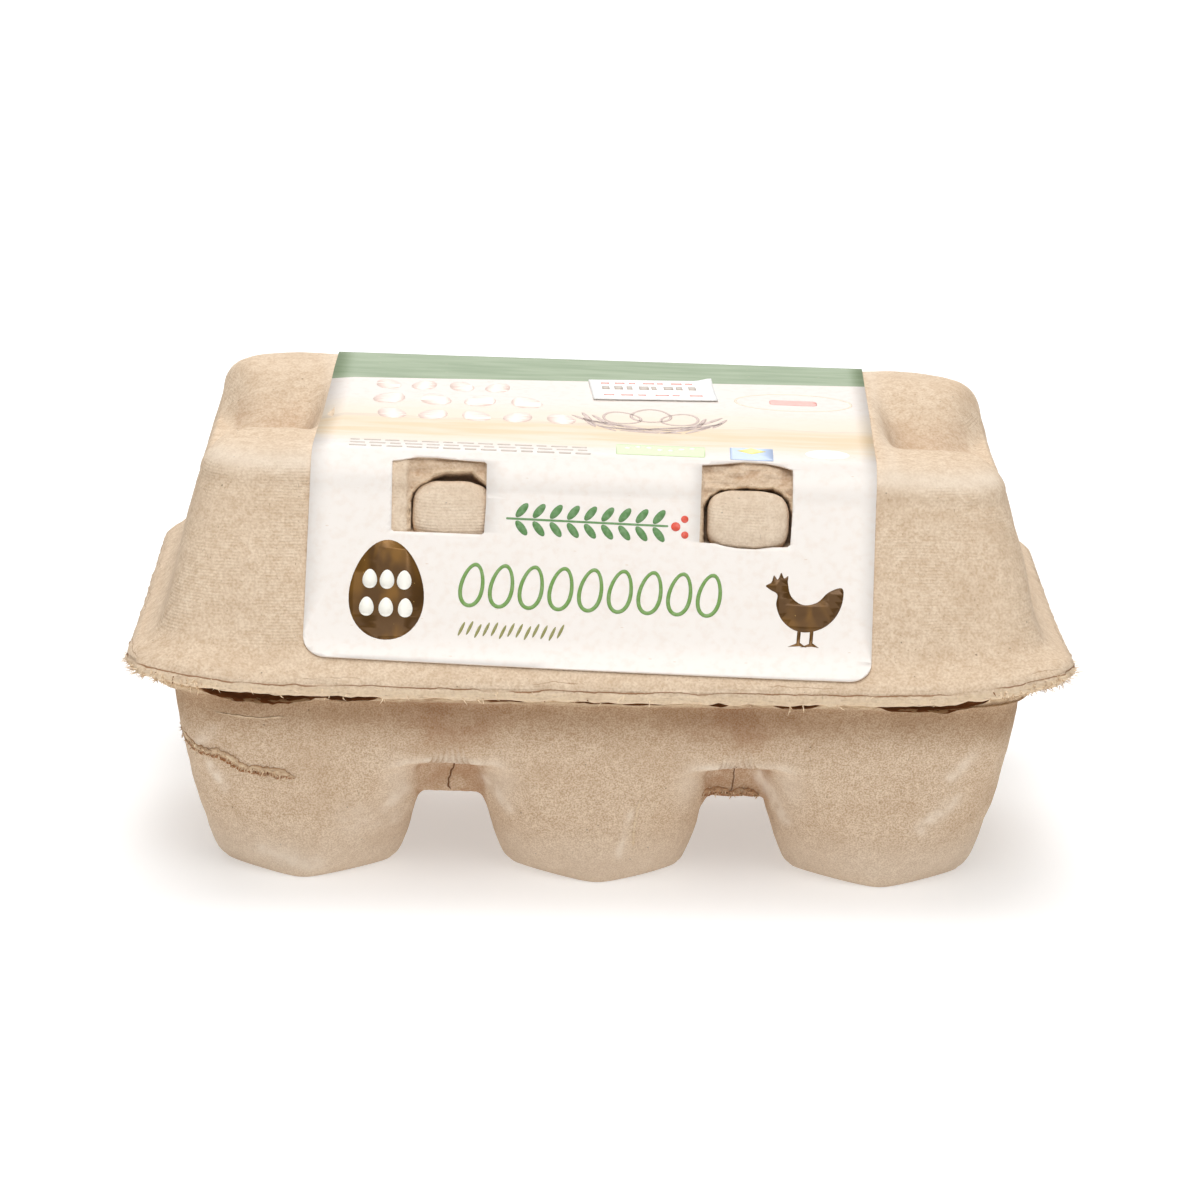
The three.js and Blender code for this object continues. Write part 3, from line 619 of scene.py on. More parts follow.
@dataclass
class Piece:
    """One visible piece: its name, finish and place in the record."""

    name: str
    slot: Slot
    material: bpy.types.Material
    replaced: tuple[str, ...] = ()

    def add(
        self,
        points: np.ndarray,
        faces: Sequence[Sequence[int]],
        masks: dict[str, np.ndarray] | None = None,
        relief: Callable[[np.ndarray], np.ndarray] | None = None,
    ) -> bpy.types.Object:
        """Makes the piece's object.

        Args:
            points: Vertices in millimetres.
            faces: Vertex indices of each face, in any turning direction of a closed surface.
            masks: A number or a vector for each vertex, by name, for the finish.
            relief: Gives the height by which each vertex is raised off the surface.

        Returns:
            The object.
        """
        mesh = bpy.data.meshes.new(self.name)
        mesh.from_pydata((np.asarray(points) * MM).tolist(), [], [list(map(int, face)) for face in faces])
        work = bmesh.new()
        work.from_mesh(mesh)
        bmesh.ops.recalc_face_normals(work, faces=work.faces)
        work.to_mesh(mesh)
        work.free()
        if relief is not None:
            normals = np.zeros(len(mesh.vertices) * 3, np.float32)
            mesh.vertex_normals.foreach_get("vector", normals)
            raised = np.asarray(points) + normals.reshape(-1, 3) * relief(np.asarray(points))[:, None]
            mesh.vertices.foreach_set("co", (raised * MM).astype(np.float32).ravel())
        for name, values in (masks or {}).items():
            kind, field_name = ("FLOAT_VECTOR", "vector") if values.ndim == 2 else ("FLOAT", "value")
            mesh.attributes.new(name, kind, "POINT").data.foreach_set(field_name, values.astype(np.float32).ravel())
        mesh.polygons.foreach_set("use_smooth", np.ones(len(mesh.polygons), bool))
        mesh.update()
        made = bpy.data.objects.new(self.name, mesh)
        bpy.context.scene.collection.objects.link(made)
        made.data.materials.append(self.material)
        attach(made, "root")
        if self.replaced:
            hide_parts(*self.replaced)
        log.info("%s: %d vertices, %d faces", self.name, len(mesh.vertices), len(mesh.polygons))
        return made


@dataclass
class CartonForm:
    """Sizes of the whole and the way its lid sits when it is shut."""

    height: float = 71.5
    seam: float = 36.4
    clearance: float = 0.15
    sag: float = 0.9
    sag_from_y: float = 44.0
    valley_floor: float = 64.2
    valley_floor_half: float = 6.0
    valley_side_slope: float = 0.62
    valley_inner_x: float = 46.2
    valley_inner_slope: float = 1.9
    valley_rounding: float = 2.6
    flare_from: float = 57.0
    flare_length: float = 8.0
    flare: float = 12.0
    lean: float = 1.1
    back_rise: float = 0.9
    back_fuller: float = 2.6
    lift_left: float = 1.3
    lift_right: float = 2.6
    lift_from: float = 50.0
    lift_top_z: float = 47.0
    fold_half: float = 56.0
    fold_room: float = 2.1
    fold_ends: float = 8.0
    length: float = field(init=False)
    width: float = field(init=False)

    def __post_init__(self) -> None:
        """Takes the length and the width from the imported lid."""
        low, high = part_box("lid")
        self.length = (high.x - low.x) / MM
        self.width = -2 * low.y / MM

    def seam_sag(self, x: np.ndarray, y: np.ndarray) -> np.ndarray:
        """How far the front of the seam hangs below its plane."""
        along = 1 - (x / (self.length / 2)) ** 2
        return self.sag * along * np.clip((-y - self.sag_from_y) / (self.width / 2 - self.sag_from_y), 0, 1)

    def valley(self, x: np.ndarray, y: np.ndarray) -> np.ndarray:
        """Height of the valleys in the two ends of the lid's top.

        Args:
            x: Places along the carton.
            y: Places across it.

        Returns:
            The height above which the lid has no material.
        """
        flared = np.maximum(np.abs(x) - self.flare_from, 0) / self.flare_length
        side = self.valley_floor + self.valley_side_slope * (
            np.abs(y) - self.valley_floor_half - self.flare * flared**2
        )
        inner = self.height - self.valley_inner_slope * (np.abs(x) - self.valley_inner_x)
        walls = smooth_max(side, inner, self.valley_rounding * 2)
        return smooth_max(walls, self.valley_floor, self.valley_rounding)

    def shut(self, points: np.ndarray) -> np.ndarray:
        """Leans the lid, fills out its back and curls its lip the way it sits when shut.

        Args:
            points: Points of the straight lid as rows.

        Returns:
            The moved points.
        """
        x, y, z = np.asarray(points, float).T
        raised = np.clip((z - self.seam) / (self.height - self.seam), 0, 1)
        lean = (-self.lean * x / (self.length / 2) + self.back_rise * y / (self.width / 2)) * raised
        back = self.back_fuller * raised * smooth_step(0, self.width / 4, y)
        lift = np.where(x < 0, self.lift_left, self.lift_right)
        corner = smooth_step(self.lift_from, self.length / 2, np.abs(x)) * smooth_step(0, self.width / 2, -y)
        near_lip = 1 - smooth_step(self.seam + 2, self.lift_top_z, z)
        lip = (lift * corner - self.seam_sag(x, y)) * near_lip
        beside = smooth_step(self.fold_half, self.fold_half + self.fold_ends, np.abs(x))
        room = self.fold_room * (1 - beside) * smooth_step(self.width / 3, self.width / 2, y) * near_lip
        return np.stack([x, y + back - room, z + lean + lip], axis=1)


@dataclass
class Tray:
    """The lower half: six cups on one table plane, joined by bridges, with a torn flange round the rim."""

    form: CartonForm
    pitch: float = 48.2
    row_y: float = 23.4
    foot: tuple[float, float] = (15.9, 13.45)
    wall_half: tuple[float, float] = (22.12, 22.52)
    draft_low: float = 0.281
    draft_high: float = 0.133
    draft_rounding: float = 2.0
    foot_power: float = 1.083
    rim_power: float = 4.6
    square_z: float = 25.7
    tips: tuple[float, float] = (2.02, 1.53)
    foot_rounding: float = 1.57
    bridge_z: float = 14.2
    bridge_half: float = 9.3
    bridge_corner: float = 2.0
    bridge_rounding: float = 6.0
    niche_slope: float = 2.4
    niche_roof_z: float = 21.8
    niche_roof_slope: float = 0.16
    niche_corner: float = 3.0
    arch_rounding: float = 1.3
    wall_top: float = 32.8
    per_side: int = 28
    rings: int = 60
    samples: int = 330
    halvings: int = 24
    flange: tuple[tuple[float, float], ...] = ((0.7, 2.3), (2.2, 1.7), (3.5, 1.5), (3.8, 1.0), (3.7, 0.4), (3.2, 0.0))
    flange_inward: tuple[float, ...] = (2.4, 1.6, 0.8, 0.0, -0.8, -1.4, -1.9)
    drawn_in: float = 1.9
    flange_step: float = 0.4
    edge_fray: Layers = ((0.42, 3.1, 1), (0.3, 1.1, 2))
    slit_fray: Layers = ((0.25, 3.4, 3), (0.12, 0.9, 8))
    unevenness: Layers = ((0.3, 9.0, 5), (0.12, 3.2, 6), (0.04, 1.2, 7))
    scuffs: tuple[tuple[float, float, float, float, float, float], ...] = (
        (-63.9, 20.3, -61.6, 16.7, 0.9, 1.04), (-33.9, 13.7, -31.5, 15.6, 1.2, 0.78),
        (-40.0, 11.5, -33.0, 10.5, 3.0, 0.585), (-18.4, 17.7, -14.5, 13.0, 0.9, 0.91),
        (5.3, 13.7, 3.5, 5.4, 0.5, 0.78), (28.0, 19.1, 32.6, 11.0, 1.0, 1.235),
        (58.6, 20.9, 62.2, 24.9, 1.0, 0.78), (54.6, 11.7, 59.8, 16.8, 1.3, 0.91),
        (-27.9, 22.6, -19.5, 22.2, 0.4, 0.91), (17.9, 22.2, 26.4, 21.8, 0.4, 0.91),
        (-63.0, 27.5, -66.0, 24.0, 1.0, 0.65), (-55.0, 5.0, -46.0, 2.5, 1.6, 0.65),
    )
    slits: tuple[tuple[float, float, float], ...] = (
        (-53.8, 10.5, 2.15), (-40.0, 5.2, 1.6), (-14.7, 4.6, 1.05), (3.9, 11.8, 1.05), (18.5, 2.4, 1.2),
        (31.2, 4.2, 1.45), (53.0, 9.4, 2.0),
    )
    slit_reach: float = 7.0
    skew: tuple[tuple[float, float], ...] = (
        (-62.0, 1.0), (-44.0, 0.0), (8.0, 0.0), (24.0, -1.84), (48.0, -1.78), (68.0, -2.19),
    )

    def skewed(self, x: np.ndarray) -> np.ndarray:
        """Moves places along an even tray to where this uneven one has them."""
        return x + np.interp(x, *np.array(self.skew).T)

    def even(self, x: np.ndarray) -> np.ndarray:
        """Moves places along this tray to where an even one has them."""
        at, by = np.array(self.skew).T
        return x - np.interp(x, at + by, by)

    def half_x(self, z: np.ndarray) -> np.ndarray:
        """Half the length of a cup's section at each height."""
        high = self.wall_half[0] - self.draft_high * (self.wall_top - z)
        return smooth_min(self.foot[0] + self.draft_low * z, high, self.draft_rounding)

    def half_y(self, z: np.ndarray) -> np.ndarray:
        """Half the width of a cup's section at each height."""
        return self.foot[1] + (self.wall_half[1] - self.foot[1]) * z / self.wall_top

    def cup(self, dx: np.ndarray, dy: np.ndarray, tips: tuple[float, float] = (0.0, 0.0)) -> np.ndarray:
        """Height at which a cup's section, which widens upwards, first takes in a point.

        Args:
            dx: Distances from the cup's centre along the carton.
            dy: Distances across it.
            tips: Rounding of the diamond's tips, of those across and of those along the carton.

        Returns:
            The heights.
        """
        low = np.full(np.shape(dx), -2 * self.foot_rounding)
        high = np.full(np.shape(dx), 60.0)
        x, y = np.hypot(dx, tips[0]), np.hypot(dy, tips[1])
        for _ in range(self.halvings):
            z = (low + high) / 2
            power = self.foot_power + (self.rim_power - self.foot_power) * np.clip(z / self.square_z, 0, 1)
            outside = (x / self.half_x(z)) ** power + (y / self.half_y(z)) ** power > 1
            low = np.where(outside, z, low)
            high = np.where(outside, high, z)
        return high

    def bridge(self, distance: np.ndarray) -> np.ndarray:
        """Height of the bridge between two cups, which ends in a steep panel under a roof.

        Args:
            distance: How far points lie from the middle of the bridge, towards the outside.

        Returns:
            The heights.
        """
        panel = self.bridge_z + self.niche_slope * (distance - self.bridge_half)
        roof = self.niche_roof_z + self.niche_roof_slope * (distance - self.bridge_half)
        return smooth_max(smooth_min(panel, roof, self.niche_corner), self.bridge_z, self.bridge_corner)

    def levels(self, x: np.ndarray, y: np.ndarray) -> tuple[np.ndarray, np.ndarray]:
        """Heights of the cups with their bridges, and of the wall round the whole tray.

        Args:
            x: Places along the carton.
            y: Places across it.

        Returns:
            Both heights; the outside lies at the larger.
        """
        column = np.clip(np.round(x / self.pitch), -1, 1)
        dx = np.abs(x - column * self.pitch)
        dy = np.abs(np.abs(y) - self.row_y)
        cup = smooth_max(self.cup(dx, dy, self.tips), 0, self.foot_rounding)
        lowest = smooth_min(cup, self.bridge(dy), self.bridge_rounding)
        lowest = smooth_min(lowest, self.bridge(dx), self.bridge_rounding)
        out_x = np.maximum(np.abs(x) - self.pitch, 0)
        out_y = np.maximum(np.abs(y) - self.row_y, 0)
        return lowest, self.cup(out_x, out_y)

    def underside(self, x: np.ndarray, y: np.ndarray) -> np.ndarray:
        """Height of the tray's outside under each point.

        Args:
            x: Places along the carton.
            y: Places across it.

        Returns:
            The heights.
        """
        return smooth_max(*self.levels(x, y), self.arch_rounding)

    def front_y(self, x: np.ndarray, z: np.ndarray) -> np.ndarray:
        """How far back the front of the tray lies.

        Args:
            x: Places along the tray.
            z: Heights.

        Returns:
            The places across the carton.
        """
        x = self.even(x)
        outside = np.full(np.shape(x), -self.form.width / 2)
        inside = np.full(np.shape(x), -self.row_y)
        for _ in range(self.halvings):
            y = (outside + inside) / 2
            within = self.underside(x, y) < z
            inside = np.where(within, y, inside)
            outside = np.where(within, outside, y)
        return inside

    def wall_share(self, out: np.ndarray) -> np.ndarray:
        """How far points lie out from a cup's centre, as a share of the wall's half width."""
        return ((np.abs(out) / self.wall_half) ** self.rim_power).sum(axis=-1) ** (1 / self.rim_power)

    def spokes(self, column: int, row: int) -> np.ndarray:
        """Ends of the spokes that run out from a cup's centre, round the cell that belongs to it.

        Args:
            column: Which cup along the carton, from -1 to 1.
            row: -1 in front, 1 behind.

        Returns:
            The ends as rows of x, y.
        """
        even = np.linspace(0, 1, self.per_side + 1)[:, None]
        ends = []
        for side in ((1, 1), (-1, 1), (-1, -1), (1, -1)):
            outer = (side[0] == column, side[1] == row)
            limit = np.array([
                self.wall_half[0] if outer[0] else self.pitch / 2, self.wall_half[1] if outer[1] else self.row_y,
            ])
            outline = np.vstack([limit * np.hstack([even**0, even]), limit * np.hstack([even[-2::-1], even[1:] ** 0])])
            if all(outer):
                outline = outline / self.wall_share(outline)[:, None]
            if side[0] * side[1] < 0:
                outline = outline[::-1]
            ends.append(outline[:-1] * side)
        return np.vstack(ends) + (column * self.pitch, row * self.row_y)

    def cell(self, column: int, row: int) -> tuple[np.ndarray, list[np.ndarray]]:
        """One cup's cell of the underside, its points evenly spaced along the surface.

        Args:
            column: Which cup along the carton.
            row: -1 in front, 1 behind.

        Returns:
            Points and arrays of faces.
        """
        centre = np.array([column * self.pitch, row * self.row_y])
        ends = self.spokes(column, row)
        shares = np.linspace(0, 1, self.samples + 1)
        at = centre + (ends - centre)[:, None, :] * shares[:, None]
        z = self.underside(at[..., 0], at[..., 1])
        steps = np.hypot(np.hypot(*(ends - centre).T)[:, None] / self.samples, np.diff(z, axis=1))
        path = np.hstack([np.zeros((len(ends), 1)), np.cumsum(steps, axis=1)])
        flat = np.array([np.flatnonzero(row_z <= 0.02).max(initial=0) for row_z in z])
        stops = np.empty((len(ends), self.rings + 2))
        stops[:, 0] = shares[flat] / 2
        for k, line in enumerate(path):
            wanted = np.linspace(line[flat[k]], line[-1], self.rings + 1)
            stops[k, 1:] = np.interp(wanted, line, shares)
        at = centre + (ends - centre)[:, None, :] * stops[..., None]
        points = np.concatenate([at, self.underside(at[..., 0], at[..., 1])[..., None]], axis=-1)
        rows = points.transpose(1, 0, 2).reshape(-1, 3)
        count = len(ends)
        fan = [[0, 1 + (k + 1) % count, 1 + k] for k in range(count)]
        return np.vstack([[[*centre, 0.0]], rows]), [np.array(fan), quad_grid(self.rings + 2, count, True, 1)]

    def merged_cells(self) -> tuple[np.ndarray, list[list[int]]]:
        """All six cells with their shared border points merged.

        Returns:
            Points and faces.
        """
        points, faces, start = [], [], 0
        for row in (-1, 1):
            for column in (-1, 0, 1):
                cell_points, cell_faces = self.cell(column, row)
                points.append(cell_points)
                faces += [face + start for face in cell_faces]
                start += len(cell_points)
        everything = np.vstack(points)
        _, first, which = np.unique(np.round(everything, 3), axis=0, return_index=True, return_inverse=True)
        which = which.reshape(-1)
        return everything[first], [list(face) for group in faces for face in which[group]]

    def out_from(self, rim: np.ndarray, distance: np.ndarray | float) -> np.ndarray:
        """Moves rim points straight out from the tray's wall.

        Args:
            rim: Points of the rim.
            distance: How far out.

        Returns:
            The moved points as rows of x, y.
        """
        core = np.clip(rim[:, :2], (-self.pitch, -self.row_y), (self.pitch, self.row_y))
        out = rim[:, :2] - core
        out /= np.linalg.norm(out, axis=1)[:, None]
        return rim[:, :2] + out * np.reshape(distance, (-1, 1))

    def slit_depth(self, x: np.ndarray, y: np.ndarray) -> np.ndarray:
        """How deep the slits between tray and lid are at points of the front flange.

        Args:
            x: Places along the carton.
            y: Places across it.

        Returns:
            The depths.
        """
        depth = np.zeros_like(x)
        for middle, half, deep in self.slits:
            depth = np.maximum(depth, deep * np.sqrt(np.clip(1 - ((x - middle) / half) ** 2, 0, 1)))
        inner = -self.form.width / 2 + self.slit_reach
        return depth * (y < 0) * smooth_step(inner, inner - 1.0, y)

    def build(self, finish: PulpFinish) -> bpy.types.Object:
        """Builds the tray.

        Args:
            finish: What it is made of.

        Returns:
            The object.
        """
        points, faces = self.merged_cells()
        out = np.maximum(np.abs(points[:, :2]) - (self.pitch, self.row_y), 0)
        on_wall = (np.abs(self.wall_share(out) - 1) < 1e-4) & (points[:, 2] > self.wall_top - 3)
        rim = np.flatnonzero(on_wall)
        rim = rim[np.argsort(np.arctan2(points[rim, 1], points[rim, 0]))]
        around = points[rim]
        fray = layered(around, self.edge_fray)
        drawn = self.drawn_in * smooth_step(54, 62, around[:, 0]) * smooth_step(34, 42, -around[:, 1])
        ragged = 1 + layered(around, self.slit_fray)
        profile = resample(np.array(self.flange), self.flange_step)
        inner = np.array([[d, 0.0] for d in self.flange_inward])
        rows, weights, dark = [], [], []
        for distance, under in np.vstack([profile, inner]):
            edge = smooth_step(1.8, 3.6, distance)
            place = self.out_from(around, distance + (fray - drawn) * edge)
            gap = self.slit_depth(self.skewed(place[:, 0]), place[:, 1]) * ragged
            deep = np.maximum(under, gap)
            key = np.column_stack([place, np.full(len(rim), under * 3)])
            thin = 0.16 * lumps(key, 1.6, 4) * edge * (under > 0)
            z = self.form.seam - self.form.clearance - deep + thin - self.form.seam_sag(*place.T)
            rows.append(np.column_stack([place, z]))
            weights.append(np.full(len(rim), edge * (0.4 + 0.5 * (under < 1.2))))
            past = under <= 0.9 or distance < 3.4
            # Painted shade: the inside of the deep slits is coloured dark brown.
            dark.append(smooth_step(0.5, 0.8, gap) * (under < 1.2) * past)
        start = len(points)
        points = np.vstack([points, *rows])
        loops = np.vstack([rim, start + np.arange(len(rows) * len(rim)).reshape(-1, len(rim))])
        for first, second in zip(loops[:-1], loops[1:]):
            faces += np.stack([first, np.roll(first, -1), np.roll(second, -1), second], axis=1).tolist()
        faces.append(loops[-1].tolist())
        torn = np.zeros(len(points))
        torn[start:] = np.concatenate(weights)
        painted_shade_and_dark_fibre = np.zeros(len(points))
        painted_shade_and_dark_fibre[start:] = np.concatenate(dark)
        torn *= 1 - painted_shade_and_dark_fibre
        masks = {
            "torn": torn, "painted_shade_and_dark_fibre": painted_shade_and_dark_fibre, "stain_and_painted_shade": self.stains_and_painted_shade(points), "worn_and_painted_light": self.worn_and_painted_light(points),
            # Painted shade under the rim.
            "shade": smooth_step(24.0, 32.5, points[:, 2]),
        }
        points[:, 0] = self.skewed(points[:, 0])
        piece = Piece("tray_pulp", Slot.TRAY, finish.make(), ("tray",))
        return piece.add(points, faces, masks, self.relief)

    def relief(self, points: np.ndarray) -> np.ndarray:
        """Unevenness of hand-thick pulp, none at the feet or up at the seam.

        Args:
            points: Vertices.

        Returns:
            Heights off the surface.
        """
        free = smooth_step(0.05, 3.0, points[:, 2]) * (1 - smooth_step(31.0, 33.5, points[:, 2]))
        return free * layered(points, self.unevenness)

    def stains_and_painted_shade(self, points: np.ndarray) -> np.ndarray:
        """Real brown staining under the rim beside the niches, and painted shade on the set-back niche panels between
        two cups.

        Args:
            points: Vertices.

        Returns:
            A mask from 0 to 1.
        """
        x, y, z = points.T
        beside = np.abs(np.abs(x) - self.pitch / 2)
        near = np.exp(-(beside / 9.0) ** 2) * smooth_step(22, 29, z) * smooth_step(36, 42, np.abs(y))
        # The first term is real brown staining under the rim; the niche term is painted shade on the set-back panels.
        return np.clip(0.9 * near + 1.6 * self.in_niche(x, y) * smooth_step(10.5, 12.5, z), 0, 1)

    def in_niche(self, x: np.ndarray, y: np.ndarray) -> np.ndarray:
        """Tells where the outside is set back between two cups.

        Args:
            x: Places along the carton.
            y: Places across it.

        Returns:
            A mask from 0 to 1.
        """
        lowest, wall = self.levels(x, y)
        beside = np.abs(np.abs(x) - self.pitch / 2)
        return smooth_step(0.5, 2.0, lowest - wall) * (1 - smooth_step(4.6, 6.4, beside)) * (np.abs(y) > 24)

    def worn_and_painted_light(self, points: np.ndarray) -> np.ndarray:
        """Lighter edges beside the niches (wear with a painted highlight), painted light towards the feet, and scuffs
        on the front.

        Args:
            points: Vertices.

        Returns:
            A mask from 0 to 1.
        """
        x, y, z = points.T
        lowest, wall = self.levels(x, y)
        beside = np.abs(np.abs(x) - self.pitch / 2)
        # Lighter line along each niche's edge: wear with a painted highlight.
        edge = np.exp(-(((lowest - wall + 0.4) / 0.9) ** 2)) * (1 - smooth_step(7.0, 10.0, beside))
        arch = np.exp(-(((beside - 8.5) / 2.6) ** 2)) * np.exp(-(((z - 18) / 5.0) ** 2))
        # Painted light: lighter towards the bottom of the cups, where the floor lights them.
        low = 1 - smooth_step(2.0, 13.0, z)
        rubbed_and_painted_light = 0.55 * edge + 0.5 * arch * smooth_step(30, 40, np.abs(y)) + 0.5 * low
        patchy = (0.75 + 0.8 * lumps(points, 1.3, 19)) * (y < 0)
        for x1, z1, x2, z2, width, strength in self.scuffs:
            run = np.array([x2 - x1, z2 - z1])
            share = np.clip(((x - x1) * run[0] + (z - z1) * run[1]) / (run @ run), 0, 1)
            away = np.hypot(x - x1 - share * run[0], z - z1 - share * run[1]) / width
            rubbed_and_painted_light += strength * patchy * np.exp(-(away**2))
        return np.clip(rubbed_and_painted_light, 0, 1)


@dataclass
class Fray:
    """Loose fibres that stand out of a torn edge."""

    name: str
    count: int
    seed: int
    length: float = 1.1
    breadth: float = 0.12
    spread: float = 0.55
    droop: float = 0.35
    dark_share: float = 0.04

    def build(
        self, places: np.ndarray, outward: np.ndarray, likely: np.ndarray, slot: Slot,
        material: bpy.types.Material,
    ) -> bpy.types.Object:
        """Builds the fibres, each a thin bent blade.

        Args:
            places: Points of the torn edge.
            outward: The way out of the pulp at each of them.
            likely: How likely a fibre is at each of them.
            slot: Material slot of the pulp.
            material: The pulp.

        Returns:
            The object.
        """
        chance = np.random.default_rng(self.seed)
        picked = chance.choice(len(places), self.count, p=likely / likely.sum())
        roots = places[picked] + chance.normal(0, 0.12, (self.count, 3))
        heading = outward[picked] + chance.normal(0, self.spread, roots.shape) - (0, 0, self.droop)
        across = np.cross(heading, outward[picked] + (0, 0, 1))
        across *= self.breadth / (np.linalg.norm(across, axis=1)[:, None] + 1e-9)
        step = heading * self.length * chance.uniform(0.15, 0.5, (self.count, 1))
        middle = roots + step
        tip = middle + step + chance.normal(0, 0.15, roots.shape)
        narrow = across * 0.7
        points = np.stack([roots - across, roots + across, middle + narrow, middle - narrow, tip], axis=1)
        first = np.arange(self.count)[:, None] * 5
        faces = (first + (0, 1, 2, 3)).tolist() + (first + (3, 2, 4)).tolist()
        dark = np.repeat(chance.random(self.count) < self.dark_share, 5).astype(float)
        masks = {"torn": 1 - dark, "painted_shade_and_dark_fibre": dark}
        return Piece(self.name, slot, material).add(points.reshape(-1, 3), faces, masks)


@dataclass
class Tear:
    """A frayed ridge or a fine crack along a line on the front of the tray."""

    name: str
    path: tuple[tuple[float, float], ...]
    width: float
    height: float
    seed: int
    wiggle: float = 0.1
    dark: float = 0.0
    brown: float = 0.0
    pale: float = 1.0
    lump: float = 0.0
    fibres: int = 0
    step: float = 0.25
    across: int = 9

    def build(self, tray: Tray, material: bpy.types.Material) -> bpy.types.Object:
        """Builds the tear as a narrow strip on the tray's wall.

        Args:
            tray: The tray it is in.
            material: The tray's pulp.

        Returns:
            The object.
        """
        line = resample(rounded(np.array(self.path), 6), self.step, keep=False)
        along = np.gradient(line, axis=0)
        along /= np.linalg.norm(along, axis=1)[:, None]
        side = np.column_stack([-along[:, 1], along[:, 0]])
        share = np.linspace(0, 1, len(line))
        key = np.column_stack([line, np.full(len(line), self.seed)])
        taper = np.minimum(1, np.minimum(share, 1 - share) * 9 + 0.15)
        line = line + side * (self.wiggle * lumps(key, 1.0, 51))[:, None]
        half = self.width / 2 * taper * (1 + 0.5 * lumps(key, 0.6, 52))
        t = np.linspace(-1, 1, self.across)
        flat = line[:, None, :] + side[:, None, :] * (half[:, None] * t)[..., None]
        x, z = flat.reshape(-1, 2).T
        where = np.column_stack([x, tray.front_y(x, z), z])
        where[:, 1] -= tray.relief(where) + 0.04
        crown = np.tile(1 - t**2, len(line))
        start = np.repeat(1 + self.lump * np.exp(-((share / 0.06) ** 2)), self.across)
        uneven = (0.75 + 0.9 * lumps(where, 0.75, 53)) * np.repeat(taper, self.across)
        high = self.height * start * crown * uneven
        points = where - np.maximum(high, 0)[:, None] * (0, 0.96, -0.2)
        downward = -t if side[:, 1].mean() > 0 else t
        lower = np.tile(smooth_step(-0.1, 0.7, downward), len(line))
        masks = {
            "torn": self.pale * crown**0.5 * (1 - lower), "crack_and_painted_shade": self.dark * crown**0.5,
            # Painted shade on the lower side of the ridge.
            "painted_shade_and_dark_fibre": 0.45 * self.brown * lower * crown**0.3, "stain_and_painted_shade": np.full(len(points), self.brown),
            # Painted shade under the rim, as on the tray.
            "shade": smooth_step(24.0, 32.5, z),
        }
        if self.fibres:
            crest = points[crown > 0.6]
            fray = Fray(f"{self.name}_fray", self.fibres, self.seed, length=0.75)
            outward = np.tile((0.0, -1.0, 0.0), (len(crest), 1))
            fray.build(crest, outward, np.ones(len(crest)), Slot.TRAY, material)
        return Piece(self.name, Slot.TRAY, material).add(points, quad_grid(len(line), self.across), masks)


